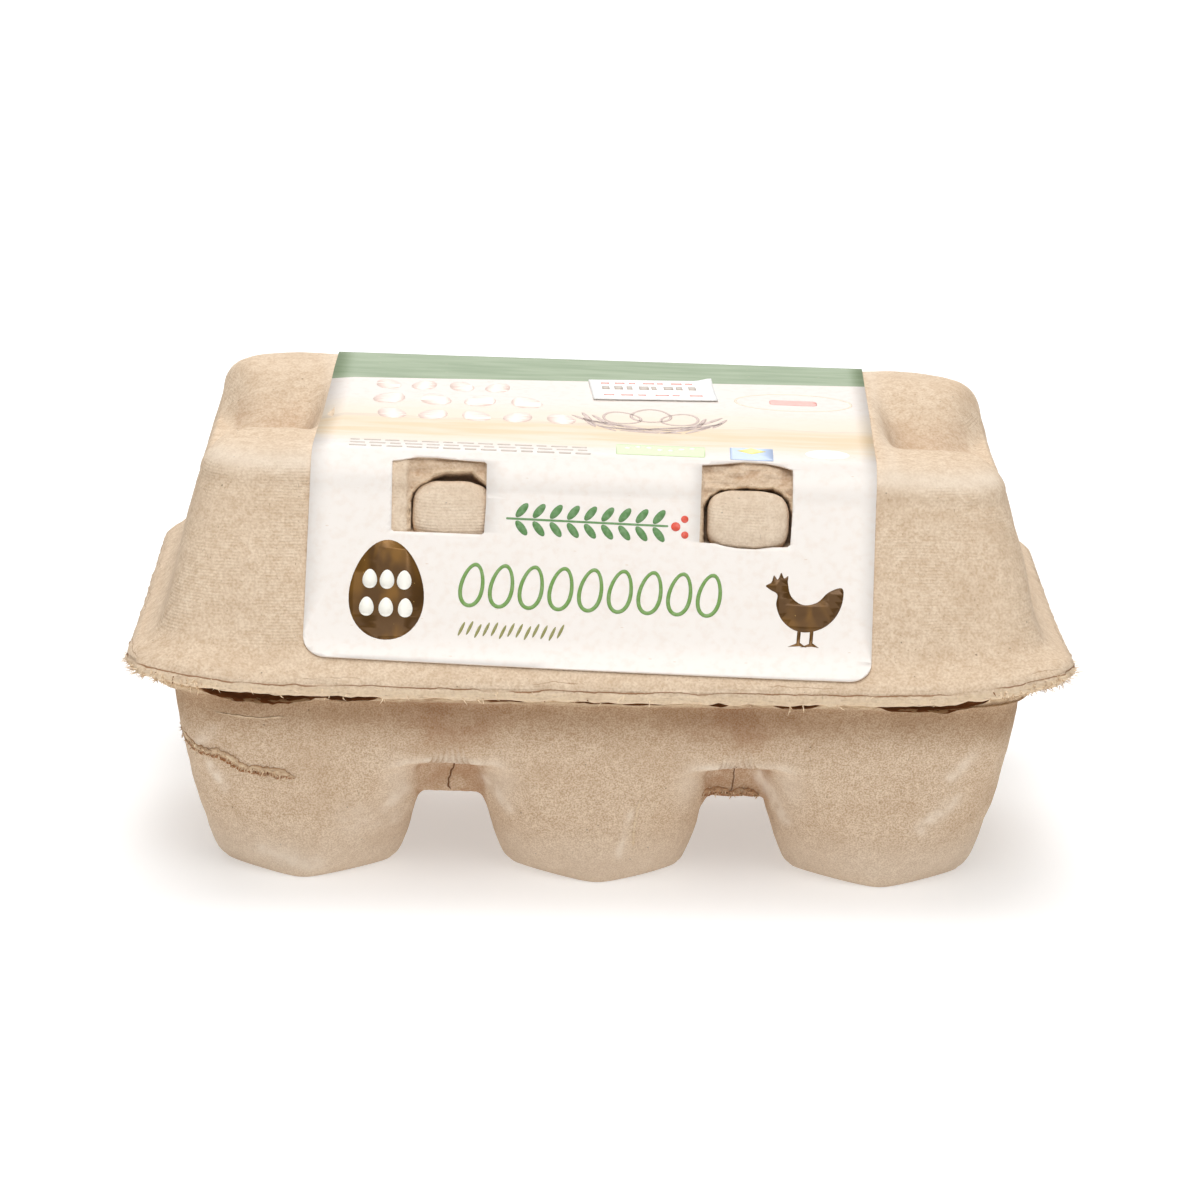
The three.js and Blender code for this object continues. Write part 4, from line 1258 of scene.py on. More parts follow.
@dataclass
class Lid:
    """The upper half: a wide lip, sloping walls and a top with a valley in each end."""

    form: CartonForm
    lip_inset: float = 8.0
    lip_corner: float = 6.0
    lip: tuple[tuple[float, float, float], ...] = (
        (0.9, 11.5, 0.0), (0.1, 12.0, 0.6), (0.0, 12.0, 1.33), (0.3, 12.0, 1.9),
    )
    lip_step: float = 0.24
    walls: tuple[tuple[float, float, float, float], ...] = (
        (1.4, 1.3, 11.0, 39.4), (3.1, 3.2, 10.0, 40.7), (4.8, 5.2, 9.0, 42.7), (6.0, 6.9, 8.0, 46.0),
        (7.1, 8.6, 7.5, 50.0), (8.5, 11.2, 8.0, 56.3), (9.9, 13.5, 8.5, 61.8), (11.1, 15.3, 9.0, 66.2),
    )
    top_rounding: float = 5.3
    top_steps: int = 10
    top_step: float = 0.9
    top_corner_shrink: float = 0.35
    top_corner_least: float = 3.0
    valley_blend: float = 4.0
    wall_parts: int = 6
    around: tuple[int, int, int] = (58, 15, 34)
    label_bottom_z: float = 41.1
    crease: float = 1.9
    lip_hang: float = 0.55
    fibres: int = 420
    front_fray: float = 0.035
    lip_fray: Layers = ((0.3, 3.4, 11), (0.26, 1.1, 12))
    unevenness: Layers = ((0.3, 10.0, 15), (0.1, 3.2, 16), (0.03, 1.2, 17))

    @cached_property
    def rings(self) -> np.ndarray:
        """Rings of the outside, from the lip up and over the top.

        Returns:
            Rows of half length, half width, corner radius and height.
        """
        half = np.array([self.form.length / 2, self.form.width / 2])
        seam = self.form.seam + self.form.clearance
        lip = np.array([[*(half - inset), corner, seam + up] for inset, corner, up in self.lip])
        corners = np.array([[*(half - (a, b)), corner, z] for a, b, corner, z in self.walls])
        walls = rounded(corners, self.wall_parts)
        end_x, end_y, radius, z = walls[-1]
        over = []
        for i in range(1, self.top_steps + 1):
            angle = math.pi / 2 * i / self.top_steps
            inward = self.top_rounding * (1 - math.cos(angle))
            over.append([end_x - inward, end_y - inward, radius, z + (self.form.height - z) * math.sin(angle)])
        top_x, top_y = over[-1][:2]
        top = []
        for inward in np.arange(self.top_step, top_y - 0.5, self.top_step):
            least = min(self.top_corner_least, (top_y - inward) * 0.8)
            corner = max(radius - inward * self.top_corner_shrink, least)
            top.append([top_x - inward, top_y - inward, corner, self.form.height])
        return np.vstack([resample(lip, self.lip_step), walls, over, top])

    def loop(self, half_x: float, half_y: float, radius: float) -> np.ndarray:
        """Points round a rounded rectangle, as many for every size.

        Args:
            half_x: Half length.
            half_y: Half width.
            radius: Corner radius.

        Returns:
            Rows of x, y.
        """
        along, arc, across = self.around
        x = (half_x - radius) * np.linspace(0, 1, along, endpoint=False)
        angle = math.pi / 2 * (1 - np.arange(arc) / arc)
        y = (half_y - radius) * np.linspace(1, 0, across + 1)
        quarter = np.vstack([
            np.column_stack([x, np.full(along, half_y)]),
            np.column_stack([half_x - radius + radius * np.cos(angle), half_y - radius + radius * np.sin(angle)]),
            np.column_stack([np.full(across + 1, half_x), y]),
        ])
        right = np.vstack([quarter, quarter[-2::-1] * (1, -1)])
        return np.vstack([right, right[-2:0:-1] * (-1, 1)])

    @cached_property
    def section(self) -> np.ndarray:
        """Section across the middle, from the front wall over the top to the back.

        Returns:
            Rows of s, y, z.
        """
        walls = self.rings[self.rings[:, 3] >= self.walls[0][3] - 1e-6]
        edge = np.argmax(walls[:, 3] >= self.form.height - 1e-6)
        half = walls[: edge + 1, [1, 3]]
        line = resample(np.vstack([half * (-1, 1), half[::-1]]), 1.0)
        length = np.r_[0, np.cumsum(np.hypot(*np.diff(line, axis=0).T))]
        front = np.argmax(line[:, 1] >= self.form.height - 1e-6)
        start = np.interp(self.label_bottom_z, line[: front + 1, 1], length[: front + 1])
        return np.column_stack([length - start, line])

    def on_sheet(self, x: np.ndarray, s: np.ndarray, lift: np.ndarray | float) -> np.ndarray:
        """Points over the lid's middle, given on the sheet.

        Args:
            x: Places along the carton.
            s: Distances up the front wall and over the top.
            lift: Height off the lid's surface.

        Returns:
            Points on the shut lid.
        """
        table, line_y, line_z = self.section.T
        y, z = np.interp(s, table, line_y), np.interp(s, table, line_z)
        reach = 0.8
        step_y = np.interp(s + reach, table, line_y) - np.interp(s - reach, table, line_y)
        step_z = np.interp(s + reach, table, line_z) - np.interp(s - reach, table, line_z)
        size = np.hypot(step_y, step_z)
        y, z = y - step_z / size * lift, z + step_y / size * lift
        drop = np.maximum(z - smooth_min(z, self.form.valley(x, y) + lift, self.form.valley_rounding), 0)
        z = z - drop * (z > self.form.valley_floor) * 0.75
        return self.form.shut(np.column_stack([x, y, z]))

    def build(self, finish: PulpFinish, openings: Sequence["LatchRecess"]) -> bpy.types.Object:
        """Builds the lid, with its wall pushed in behind each latch recess.

        Args:
            finish: What it is made of.
            openings: The recesses that stand in the wall's place.

        Returns:
            The object.
        """
        half = np.array([self.form.length / 2, self.form.width / 2])
        inner = self.loop(*(half - self.lip_inset), self.lip_corner)
        level = self.form.seam + self.form.clearance
        rows = [np.column_stack([inner, np.full(len(inner), level)])]
        torn, worn_and_painted_light, rims = ([np.zeros(len(inner))] for _ in range(3))
        path = np.r_[0, np.cumsum(np.hypot(*np.diff(self.rings[:, [1, 3]], axis=0).T))]
        for (half_x, half_y, radius, z), rim in zip(self.rings, path):
            flat = self.loop(half_x, half_y, radius)
            height = np.full(len(flat), z)
            if z > self.form.valley_floor - self.valley_blend:
                height = smooth_min(height, self.form.valley(*flat.T), self.form.valley_rounding)
            row = np.column_stack([flat, height])
            near = 1 - smooth_step(1.6, 2.6, rim)
            corner = smooth_step(60, 74, np.abs(row[:, 0])) * smooth_step(38, 50, -row[:, 1])
            frayed = near * (1 + 2.2 * corner) * layered(row, self.lip_fray)
            groove = 0.3 * np.exp(-(((rim - self.crease - 0.25 * lumps(row, 5, 18)) / 0.2) ** 2))
            row[:, :2] *= 1 + (frayed - groove)[:, None] / np.linalg.norm(row[:, :2], axis=1)[:, None]
            hang = self.lip_hang * (1 + 0.8 * lumps(row * (1, 1, 0), 2.2, 13))
            row[:, 2] -= hang * (1 - smooth_step(0.2, 2.2, rim)) * smooth_step(30, 45, -row[:, 1])
            rows.append(row)
            torn.append(np.full(len(flat), 1 - smooth_step(1.3, 1.9, rim)) * 0.7)
            worn_and_painted_light.append(self.worn_and_painted_light(row))
            rims.append(np.full(len(flat), rim))
        flat_points = np.vstack(rows)
        points = self.form.shut(flat_points)
        count = len(inner)
        faces = quad_grid(len(rows), count, True).tolist()
        last = (len(rows) - 1) * count
        faces += [list(range(count)), list(range(last, last + count))]
        for opening in openings:
            points[:, 1] += opening.depth_behind * opening.covers(flat_points, self)
        masks = {
            "torn": np.concatenate(torn), "worn_and_painted_light": np.clip(np.concatenate(worn_and_painted_light), 0, 1),
            "stain_and_painted_shade": self.stains_and_painted_shade(flat_points), "rim": np.concatenate(rims),
        }
        lid = Piece("lid_pulp", Slot.LID, finish.make(), ("lid",)).add(points, faces, masks, self.relief)
        lip = points[count:][masks["rim"][count:] < self.crease]
        core = np.column_stack([np.clip(lip[:, 0], -62, 62), np.clip(lip[:, 1], -40, 40), lip[:, 2]])
        outward = lip - core
        outward /= np.linalg.norm(outward, axis=1)[:, None] + 1e-9
        corner = smooth_step(60, 70, np.abs(lip[:, 0])) * smooth_step(34, 40, -lip[:, 1])
        likely = corner + self.front_fray * (lip[:, 1] < -45)
        Fray("lid_fray", self.fibres, 1).build(lip, outward, likely, Slot.LID, lid.data.materials[0])
        return lid

    def relief(self, points: np.ndarray) -> np.ndarray:
        """Unevenness of the pulp above the lip.

        Args:
            points: Vertices.

        Returns:
            Heights off the surface.
        """
        x, y, z = points.T
        free = smooth_step(38.5, 41.0, z)
        under_label = smooth_step(41, 47, np.abs(x + 2.0))
        return free * under_label * layered(points, self.unevenness)

    def worn_and_painted_light(self, points: np.ndarray) -> np.ndarray:
        """Lighter crests round the edge of the top and along the valleys' inner edges: wear with a painted highlight.

        Args:
            points: Vertices of one ring.

        Returns:
            A mask from 0 to 1.
        """
        x, y, z = points.T
        crest = np.exp(-(((z - 69.8) / 1.5) ** 2)) * smooth_step(24, 32, np.abs(y))
        ridge = np.exp(-(((np.abs(x) - 46.4) / 1.2) ** 2)) * smooth_step(69.5, 70.8, z)
        return 0.75 * crest + 0.3 * ridge

    def stains_and_painted_shade(self, points: np.ndarray) -> np.ndarray:
        """Painted shade: darker, browner pulp in the valleys.

        Args:
            points: Vertices.

        Returns:
            A mask from 0 to 1.
        """
        x, y, z = points.T
        floor = (1 - smooth_step(64.5, 69.5, z)) * smooth_step(60, 63, z) * (np.abs(x) < 62) * (np.abs(y) < 22)
        return 0.5 * floor


@dataclass
class LatchRecess:
    """The pulp round a locking knob, as it shows in the label's window: a creased band over a dark hole."""

    name: str
    left: float
    right: float
    bottom: float
    top: float
    hole_edge: tuple[tuple[float, float], ...]
    seed: int
    step_x: float | None = None
    margin: float = 1.3
    grid: float = 0.2
    depth: float = 1.1
    hole_depth: float = 4.6
    depth_behind: float = 14.0
    spare: float = 0.3
    front_y: float = -28.0
    lowest_z: float = 50.0

    def covers(self, points: np.ndarray, lid: Lid) -> np.ndarray:
        """Tells which of the lid's points lie behind the recess.

        Args:
            points: Points of the straight lid.
            lid: The lid.

        Returns:
            True where a point lies behind.
        """
        x, y, z = points.T
        table, line_y, line_z = lid.section.T
        front = line_y < 0
        s = np.interp(z, line_z[front], table[front])
        level = (s > self.bottom - self.spare) & (s < self.top + 0.4)
        inside = level & (x > self.left - self.spare) & (x < self.right + self.spare)
        return inside & (y < self.front_y) & (z > self.lowest_z)

    def hole(self, x: np.ndarray, s: np.ndarray) -> np.ndarray:
        """Signed distance to the torn edge of the hole, below 0 inside it.

        Args:
            x: Places along the carton.
            s: Distances up the wall.

        Returns:
            The distances.
        """
        edge = np.array(self.hole_edge)
        here = np.column_stack([x, s])
        nearest = np.full(len(x), np.inf)
        for a, b in zip(edge[:-1], edge[1:]):
            share = np.clip((here - a) @ (b - a) / ((b - a) @ (b - a)), 0, 1)
            nearest = np.minimum(nearest, np.linalg.norm(here - a - share[:, None] * (b - a), axis=1))
        inside = (s < np.interp(x, edge[:, 0], edge[:, 1])) & (x > edge[0, 0]) & (x < edge[-1, 0])
        return np.where(inside, -nearest, nearest)

    def build(self, lid: Lid, material: bpy.types.Material) -> bpy.types.Object:
        """Builds the recess.

        Args:
            lid: The lid it is pressed into.
            material: The lid's pulp.

        Returns:
            The object.
        """
        xs = np.arange(self.left - self.margin, self.right + self.margin + 1e-6, self.grid)
        ss = np.arange(self.bottom - self.margin, self.top + self.margin + 1e-6, self.grid)
        x, s = (a.ravel() for a in np.meshgrid(xs, ss))
        flat = np.column_stack([x, s, np.full_like(x, self.seed)])
        inside = smooth_step(0, 0.5, np.minimum.reduce([x - self.left, self.right - x, self.top - s]) + 0.3)
        start = self.left if self.step_x is None else self.step_x
        pressed = smooth_step(start, start + 0.8, x + 0.25 * lumps(flat, 1.5, 21)) * inside
        folds = 0.55 * lumps(flat * (0.28, 1.1, 1), 1.0, 22)
        folds += 0.4 * lumps(flat, 2.0, 23) + 0.12 * lumps(flat, 0.6, 25)
        upper = smooth_step(0.6, 2.6, self.top - s + 0.6 * lumps(flat, 3.0, 26))
        deep = pressed * (self.depth * (0.55 + 0.45 * upper) + 0.7 * folds)
        distance = self.hole(x, s) + 0.13 * lumps(flat, 0.8, 24)
        rolled = 0.4 * np.exp(-((distance - 0.3) / 0.35) ** 2) * pressed
        cut = 1 - smooth_step(-0.3, 0.1, distance)
        deep = (deep - rolled) * (1 - cut) + self.hole_depth * cut
        surface = lid.on_sheet(x, s, 0.05)
        points = surface + deep[:, None] * np.array(WALL_INWARD)
        faces = quad_grid(len(ss), len(xs))
        masks = {
            "torn": 0.8 * np.exp(-((distance - 0.15) / 0.25) ** 2) * pressed,
            "worn_and_painted_light": 0.25 * (1 - pressed) * (1 - cut),
            # Painted shade: darker, browner in the pressed band, most where its folds press deepest.
            "stain_and_painted_shade": (0.25 + 0.5 * smooth_step(0.05, 0.5, folds)) * pressed * (1 - cut),
            # Painted shade at the bottom of the hole.
            "crack_and_painted_shade": 0.5 * smooth_step(0.25, 0.9, cut),
        }
        return Piece(self.name, Slot.LID, material).add(points, faces, masks)


# Torn edges of the holes round the two knobs, on the lid's sheet
LEFT_TEAR = (
    (-30.9, 18.0), (-31.35, 22.5), (-31.25, 25.6), (-30.7, 27.6), (-29.6, 28.8), (-27.9, 29.6), (-27.5, 30.2),
    (-25.7, 30.8), (-23.3, 31.0), (-21.4, 31.1), (-20.9, 30.6), (-19.9, 29.8), (-18.8, 29.0), (-17.2, 27.0),
)
RIGHT_TEAR = (
    (16.1, 17.5), (15.95, 22.5), (16.0, 26.7), (16.9, 28.3), (18.8, 29.5), (20.9, 29.65), (22.5, 29.95),
    (24.9, 29.75), (27.0, 30.0), (28.4, 29.2), (29.6, 28.1), (30.15, 25.5), (30.2, 17.5),
)


@dataclass
class Knob:
    """A locking knob of the inner flap, filling its hole in the lid's wall."""

    name: str
    node: str
    left: float
    right: float
    bottom: float
    top: float
    proud: float
    thickness: float = 6.0
    power: float = 3.4
    around: int = 96
    upward: int = 64
    unevenness: Layers = ((0.12, 3.0, 31), (0.05, 1.1, 32))

    def bulged(self, value: np.ndarray) -> np.ndarray:
        """Swells a coordinate of a round knob towards that of a square one."""
        return np.sign(value) * np.abs(value) ** (2 / self.power)

    def relief(self, points: np.ndarray) -> np.ndarray:
        """Unevenness of the knob's pulp."""
        return layered(points, self.unevenness)

    def build(self, lid: Lid, material: bpy.types.Material) -> bpy.types.Object:
        """Builds the knob as a rounded block that leans with the wall.

        Args:
            lid: The lid it is locked into.
            material: The pulp.

        Returns:
            The object.
        """
        turn = np.linspace(0, math.tau, self.around, endpoint=False)
        rise = np.linspace(-math.pi / 2, math.pi / 2, self.upward)[1:-1]
        turn, rise = np.meshgrid(turn, rise)
        x = self.bulged(np.cos(rise)) * self.bulged(np.cos(turn))
        s = self.bulged(np.cos(rise)) * self.bulged(np.sin(turn))
        out = self.bulged(np.sin(rise))
        flat = np.column_stack([x.ravel(), s.ravel(), out.ravel()])
        flat = np.vstack([[0, 0, -1], flat, [0, 0, 1]])
        size = np.array([(self.right - self.left) / 2, (self.top - self.bottom) / 2, self.thickness / 2])
        middle = np.array([(self.left + self.right) / 2, (self.bottom + self.top) / 2, self.proud - size[2]])
        placed = middle + flat * size
        crown = 0.35 * (1 - np.clip(flat[:, 0] ** 2 + flat[:, 1] ** 2, 0, 1)) * (flat[:, 2] > 0)
        base = lid.on_sheet(placed[:, 0], placed[:, 1], 0.0)
        points = base - (placed[:, 2] + crown)[:, None] * np.array(WALL_INWARD)
        count = self.around
        rows = self.upward - 2
        faces = quad_grid(rows, count, True, 1).tolist()
        last = len(points) - 1
        faces += [[0, 1 + (k + 1) % count, 1 + k] for k in range(count)]
        faces += [[last, last - count + k, last - count + (k + 1) % count] for k in range(count)]
        # Painted shade on the back of the knob, deep in its hole.
        deep = 1 - smooth_step(-0.3, 0.75, flat[:, 2])
        masks = {"worn_and_painted_light": 0.35 * (1 - deep), "stain_and_painted_shade": deep, "crack_and_painted_shade": 0.6 * deep**2}
        return Piece(self.name, Slot.LID, material, (self.node,)).add(points, faces, masks, self.relief)


def ellipse(middle: tuple[float, float], half: tuple[float, float], turn: float = 0.0, count: int = 40) -> Outline:
    """Outline of an ellipse.

    Args:
        middle: Its centre.
        half: Its half widths.
        turn: Its turn in degrees.
        count: Number of points.

    Returns:
        Points as rows.
    """
    angle = np.linspace(0, math.tau, count, endpoint=False)
    flat = np.column_stack([half[0] * np.cos(angle), half[1] * np.sin(angle)])
    return turned(flat, turn) + middle


def turned(outline: Outline, degrees: float) -> Outline:
    """Turns an outline about the origin."""
    c, s = math.cos(math.radians(degrees)), math.sin(math.radians(degrees))
    return outline @ np.array([[c, s], [-s, c]])


def egg(middle: tuple[float, float], width: float, height: float, turn: float = 0.0, count: int = 48) -> Outline:
    """Outline of an egg with its blunt end down.

    Args:
        middle: Its centre.
        width: Its widest width.
        height: Its height.
        turn: Its turn in degrees.
        count: Number of points.

    Returns:
        Points as rows.
    """
    angle = np.linspace(0, math.tau, count, endpoint=False)
    narrow = 1 - 0.16 * np.sin(angle)
    flat = np.column_stack([width / 2 * np.cos(angle) * narrow, height / 2 * np.sin(angle)])
    return turned(flat, turn) + middle


def block(left: float, right: float, bottom: float, top: float, radius: float = 0.3, count: int = 5) -> Outline:
    """Outline of a rectangle with rounded corners.

    Args:
        left: Its left side.
        right: Its right side.
        bottom: Its bottom.
        top: Its top.
        radius: Radius of its corners.
        count: Steps round a corner.

    Returns:
        Points as rows.
    """
    made = []
    corners = ((right, top, 0), (left, top, 90), (left, bottom, 180), (right, bottom, 270))
    for x, y, first in corners:
        centre_x = x + (-radius if x == right else radius)
        centre_y = y + (-radius if y == top else radius)
        for angle in np.radians(first + np.linspace(0, 90, count + 1)):
            made.append([centre_x + radius * math.cos(angle), centre_y + radius * math.sin(angle)])
    return np.array(made)


def closed_sheet(faces: list[list[int]], count: int) -> list[list[int]]:
    """Closes a thin sheet with sides round its borders and an underside.

    Args:
        faces: Faces of its upper side.
        count: Number of points of its upper side, which the underside's follow in the same order.

    Returns:
        All its faces.
    """
    used = dict.fromkeys((a, b) for face in faces for a, b in zip(face, face[1:] + face[:1]))
    sides = [[b, a, a + count, b + count] for a, b in used if (b, a) not in used]
    return faces + sides + [[i + count for i in reversed(face)] for face in faces]


@dataclass
class Label:
    """The paper label over the front and the top of the lid, and the frame that everything printed on it uses."""

    lid: Lid
    middle_x: float = -2.4
    width: float = 90.8
    length: float = 126.0
    turn: float = 1.2
    corner: float = 3.6
    back_corner: float = 2.0
    gap: float = 0.12
    thickness: float = 0.3
    bottom_gap: float = 0.08
    bottom_left: float = -0.7
    bottom_right: float = -1.7
    fine: float = 1.1
    coarse: float = 4.0

    def to_sheet(self, outline: Outline) -> Outline:
        """Takes points from the label's own square frame onto the lid's sheet."""
        slope = math.tan(math.radians(self.turn))
        return np.column_stack([outline[:, 0] + outline[:, 1] * slope, outline[:, 1] - outline[:, 0] * slope])

    def from_sheet(self, outline: Outline) -> Outline:
        """Takes points from the lid's sheet into the label's own frame.

        Args:
            outline: Points on the sheet.

        Returns:
            Points in the label's frame.
        """
        slope = math.tan(math.radians(self.turn))
        along = (outline[:, 1] + outline[:, 0] * slope) / (1 + slope**2)
        return np.column_stack([outline[:, 0] - along * slope, along])

    def lay(self, outline: Outline, lift: float) -> np.ndarray:
        """Lays points of the label's frame on the lid.

        Args:
            outline: Points in the label's frame.
            lift: Height over the label's underside.

        Returns:
            Points in space.
        """
        sheet = self.to_sheet(outline)
        loose = self.bottom_gap * (1 - smooth_step(-1.0, 3.0, outline[:, 1]))
        return self.lid.on_sheet(sheet[:, 0], sheet[:, 1], lift + self.gap + loose)

    def cut_flat(self, outline: Outline, holes: Sequence[Outline] = ()) -> tuple[np.ndarray, list[list[int]]]:
        """Fills an outline and cuts it along level lines, so that it can bend with the lid.

        Args:
            outline: Outer outline in the label's frame.
            holes: Outlines of holes.

        Returns:
            Flat points and faces.
        """
        work = bmesh.new()
        for loop in (outline, *holes):
            corners = [work.verts.new((*point, 0)) for point in loop]
            for a, b in zip(corners, corners[1:] + corners[:1]):
                work.edges.new((a, b))
        bmesh.ops.triangle_fill(work, use_beauty=True, edges=work.edges[:], normal=(0, 0, 1))
        low, high = outline.min(axis=0), outline.max(axis=0)
        for axis, step in ((1, self.fine), (0, self.coarse)):
            normal = (0, 1, 0) if axis else (1, 0, 0)
            for cut in np.arange(math.floor(low[axis] / step) * step + step, high[axis], step):
                place = (0, cut, 0) if axis else (cut, 0, 0)
                everything = work.verts[:] + work.edges[:] + work.faces[:]
                bmesh.ops.bisect_plane(work, geom=everything, dist=1e-4, plane_co=place, plane_no=normal)
        work.verts.index_update()
        points = np.array([vertex.co[:2] for vertex in work.verts])
        faces = [[vertex.index for vertex in face.verts] for face in work.faces]
        work.free()
        return points, faces

    def thick_sheet(
        self, piece: Piece, flat: np.ndarray, faces: list[list[int]], low: float, high: float,
    ) -> bpy.types.Object:
        """Gives flat faces a thickness and lays them on the lid.

        Args:
            piece: Their name and finish.
            flat: Points in the label's frame.
            faces: Faces between them.
            low: Height of the underside over the label's.
            high: Height of the face.

        Returns:
            The object.
        """
        count = len(flat)
        points = np.vstack([self.lay(flat, high), self.lay(flat, low)])
        on_edge = np.zeros(2 * count)
        on_edge[count:] = 1
        twice = np.vstack([flat, flat])
        masks = {"sheet": np.column_stack([twice, np.zeros(2 * count)]), "edge": on_edge}
        return piece.add(points, closed_sheet(faces, count), masks)

    def outline(self) -> Outline:
        """Outline of the label in its own frame.

        Returns:
            Points as rows.
        """
        left, right = self.middle_x - self.width / 2, self.middle_x + self.width / 2
        front = block(left, right, 0, self.length, self.corner, 8)
        back = block(left, right, 0, self.length, self.back_corner, 8)
        outline = np.where(front[:, 1:] > self.length / 2, back, front)
        bottom = np.interp(outline[:, 0], (left, right), (self.bottom_left, self.bottom_right))
        outline[:, 1] += bottom * (outline[:, 1] < self.length / 2)
        return outline

    def build(self, finish: PaperFinish, windows: Sequence[Outline]) -> bpy.types.Object:
        """Builds the label with its two windows.

        Args:
            finish: The printed paper.
            windows: Outlines of the windows on the lid's sheet.

        Returns:
            The object.
        """
        holes = [self.from_sheet(window) for window in windows]
        flat, faces = self.cut_flat(self.outline(), holes)
        piece = Piece("label_sheet", Slot.LABEL, finish.make(), ("label",))
        return self.thick_sheet(piece, flat, faces, 0.0, self.thickness)

    def print_shapes(
        self, name: str, shapes: Sequence[Outline | tuple[Outline, ...]], material: bpy.types.Material,
        layer: int = 0,
    ) -> bpy.types.Object:
        """Prints a group of shapes as one thin piece.

        Args:
            name: The piece's name.
            shapes: Outlines in the label's frame; a tuple is an outline followed by its holes.
            material: The ink or foil.
            layer: Number of printed layers under it.

        Returns:
            The object.
        """
        flat, faces, start = [], [], 0
        for shape in shapes:
            outline, *holes = shape if isinstance(shape, tuple) else (shape,)
            points, found = self.cut_flat(outline, holes)
            flat.append(points)
            faces += [[i + start for i in face] for face in found]
            start += len(points)
        low = self.thickness - 0.02 + 0.012 * layer
        return self.thick_sheet(Piece(name, Slot.LABEL, material), np.vstack(flat), faces, low, low + 0.04)


@dataclass
class LabelPrint:
    """Plain, common motifs printed on the label: eggs, a hen, a sprig, bars and blocks."""

    label: Label
    badge_at: tuple[float, float] = (-34.8, 10.7)
    badge_size: tuple[float, float] = (11.9, 16.2)
    hen_at: tuple[float, float] = (31.8, 10.5)
    hen_height: float = 12.6
    ring_count: int = 9
    ring_left: float = -21.2
    ring_pitch: float = 4.75
    ring_level: float = 12.1
    ring_size: tuple[float, float] = (4.0, 7.4)
    ring_line: float = 0.62
    ring_turn: float = -10.0

    def foil(self, material: bpy.types.Material, paper: bpy.types.Material) -> None:
        """Prints the egg-shaped badge with six small eggs in it, and the hen.

        Args:
            material: The foil.
            paper: The cream ink of the small eggs.
        """
        self.label.print_shapes("print_badge", [egg(self.badge_at, *self.badge_size)], material)
        small = []
        for row, level in enumerate((-1.6, 2.9)):
            for column in (-1, 0, 1):
                spread = 3.1 - 0.35 * row
                small.append(egg((self.badge_at[0] + column * spread, self.badge_at[1] + level - 1.2), 2.3, 3.1))
        self.label.print_shapes("print_badge_eggs", small, paper, 1)
        self.label.print_shapes("print_hen", self.hen(), material)

    def hen(self) -> list[Outline]:
        """A plain standing hen seen from the side, facing left.

        Returns:
            Outlines of its body and its legs.
        """
        body = np.array([
            (0.06, 0.74), (0.0, 0.79), (0.07, 0.84), (0.1, 0.93), (0.15, 0.88), (0.19, 0.97), (0.23, 0.9),
            (0.28, 0.93), (0.28, 0.83), (0.33, 0.66), (0.48, 0.56), (0.66, 0.6), (0.8, 0.74), (0.97, 0.8),
            (0.98, 0.62), (0.9, 0.42), (0.75, 0.27), (0.55, 0.2), (0.36, 0.23), (0.21, 0.36), (0.14, 0.54),
            (0.15, 0.68),
        ])
        smooth = rounded(np.vstack([body, body[:1]]), 5)[:-1]
        legs = []
        for foot_x in (0.42, 0.58):
            legs.append(np.array([
                (foot_x, 0.24), (foot_x - 0.01, 0.05), (foot_x - 0.12, 0.0), (foot_x + 0.03, 0.015),
                (foot_x + 0.12, 0.0), (foot_x + 0.035, 0.06), (foot_x + 0.045, 0.24),
            ]))
        corner = np.array(self.hen_at) - np.array([0.48, 0.5]) * self.hen_height
        return [outline[::-1] * self.hen_height + corner for outline in (smooth, *legs)]

    def egg_row(self, material: bpy.types.Material) -> None:
        """Prints a row of slanting outlined eggs.

        Args:
            material: The green ink.
        """
        rings = []
        for k in range(self.ring_count):
            at = (self.ring_left + k * self.ring_pitch, self.ring_level)
            width, height = self.ring_size
            inner = egg(at, width - 2 * self.ring_line, height - 2 * self.ring_line, self.ring_turn)
            rings.append((egg(at, width, height, self.ring_turn), inner))
        self.label.print_shapes("print_egg_row", rings, material)

    def grains(self, material: bpy.types.Material) -> None:
        """Prints a short row of slanting grains under the eggs.

        Args:
            material: The olive ink.
        """
        shapes = []
        for k in range(13):
            at = (-22.6 + 1.32 * k, 4.9 + 0.25 * math.sin(k * 2.2))
            shapes.append(ellipse(at, (0.24, 1.25), -24, 16))
        self.label.print_shapes("print_grains", shapes, material)

    def sprig(self, leaf: bpy.types.Material, berry: bpy.types.Material) -> None:
        """Prints a level sprig with leaves in pairs and three berries.

        Args:
            leaf: The green ink.
            berry: The red ink.
        """
        shapes = [block(-16.2, 9.8, 23.05, 23.4, 0.16, 3)]
        for k in range(9):
            x = -14.6 + 2.75 * k
            for side in (-1, 1):
                middle = (x + 0.9, 23.22 + side * 1.45)
                shapes.append(ellipse(middle, (1.45, 0.62), side * 52, 22))
        self.label.print_shapes("print_sprig", shapes, leaf)
        places = (((11.0, 23.2), 0.75), ((12.4, 24.5), 0.6), ((12.5, 21.9), 0.6))
        self.label.print_shapes("print_berries", [ellipse(at, (size, size)) for at, size in places], berry)

    def top_fields(self, inks: dict[str, bpy.types.Material]) -> None:
        """Prints the pale motifs over the top.

        Args:
            inks: The inks by name.
        """
        self.pale_eggs(inks["pale_red"])
        self.nest(inks["brown"])
        self.bars(inks["grey"])
        self.blocks(inks)
        self.stamp(inks["ochre"], inks["pale_red_strong"])

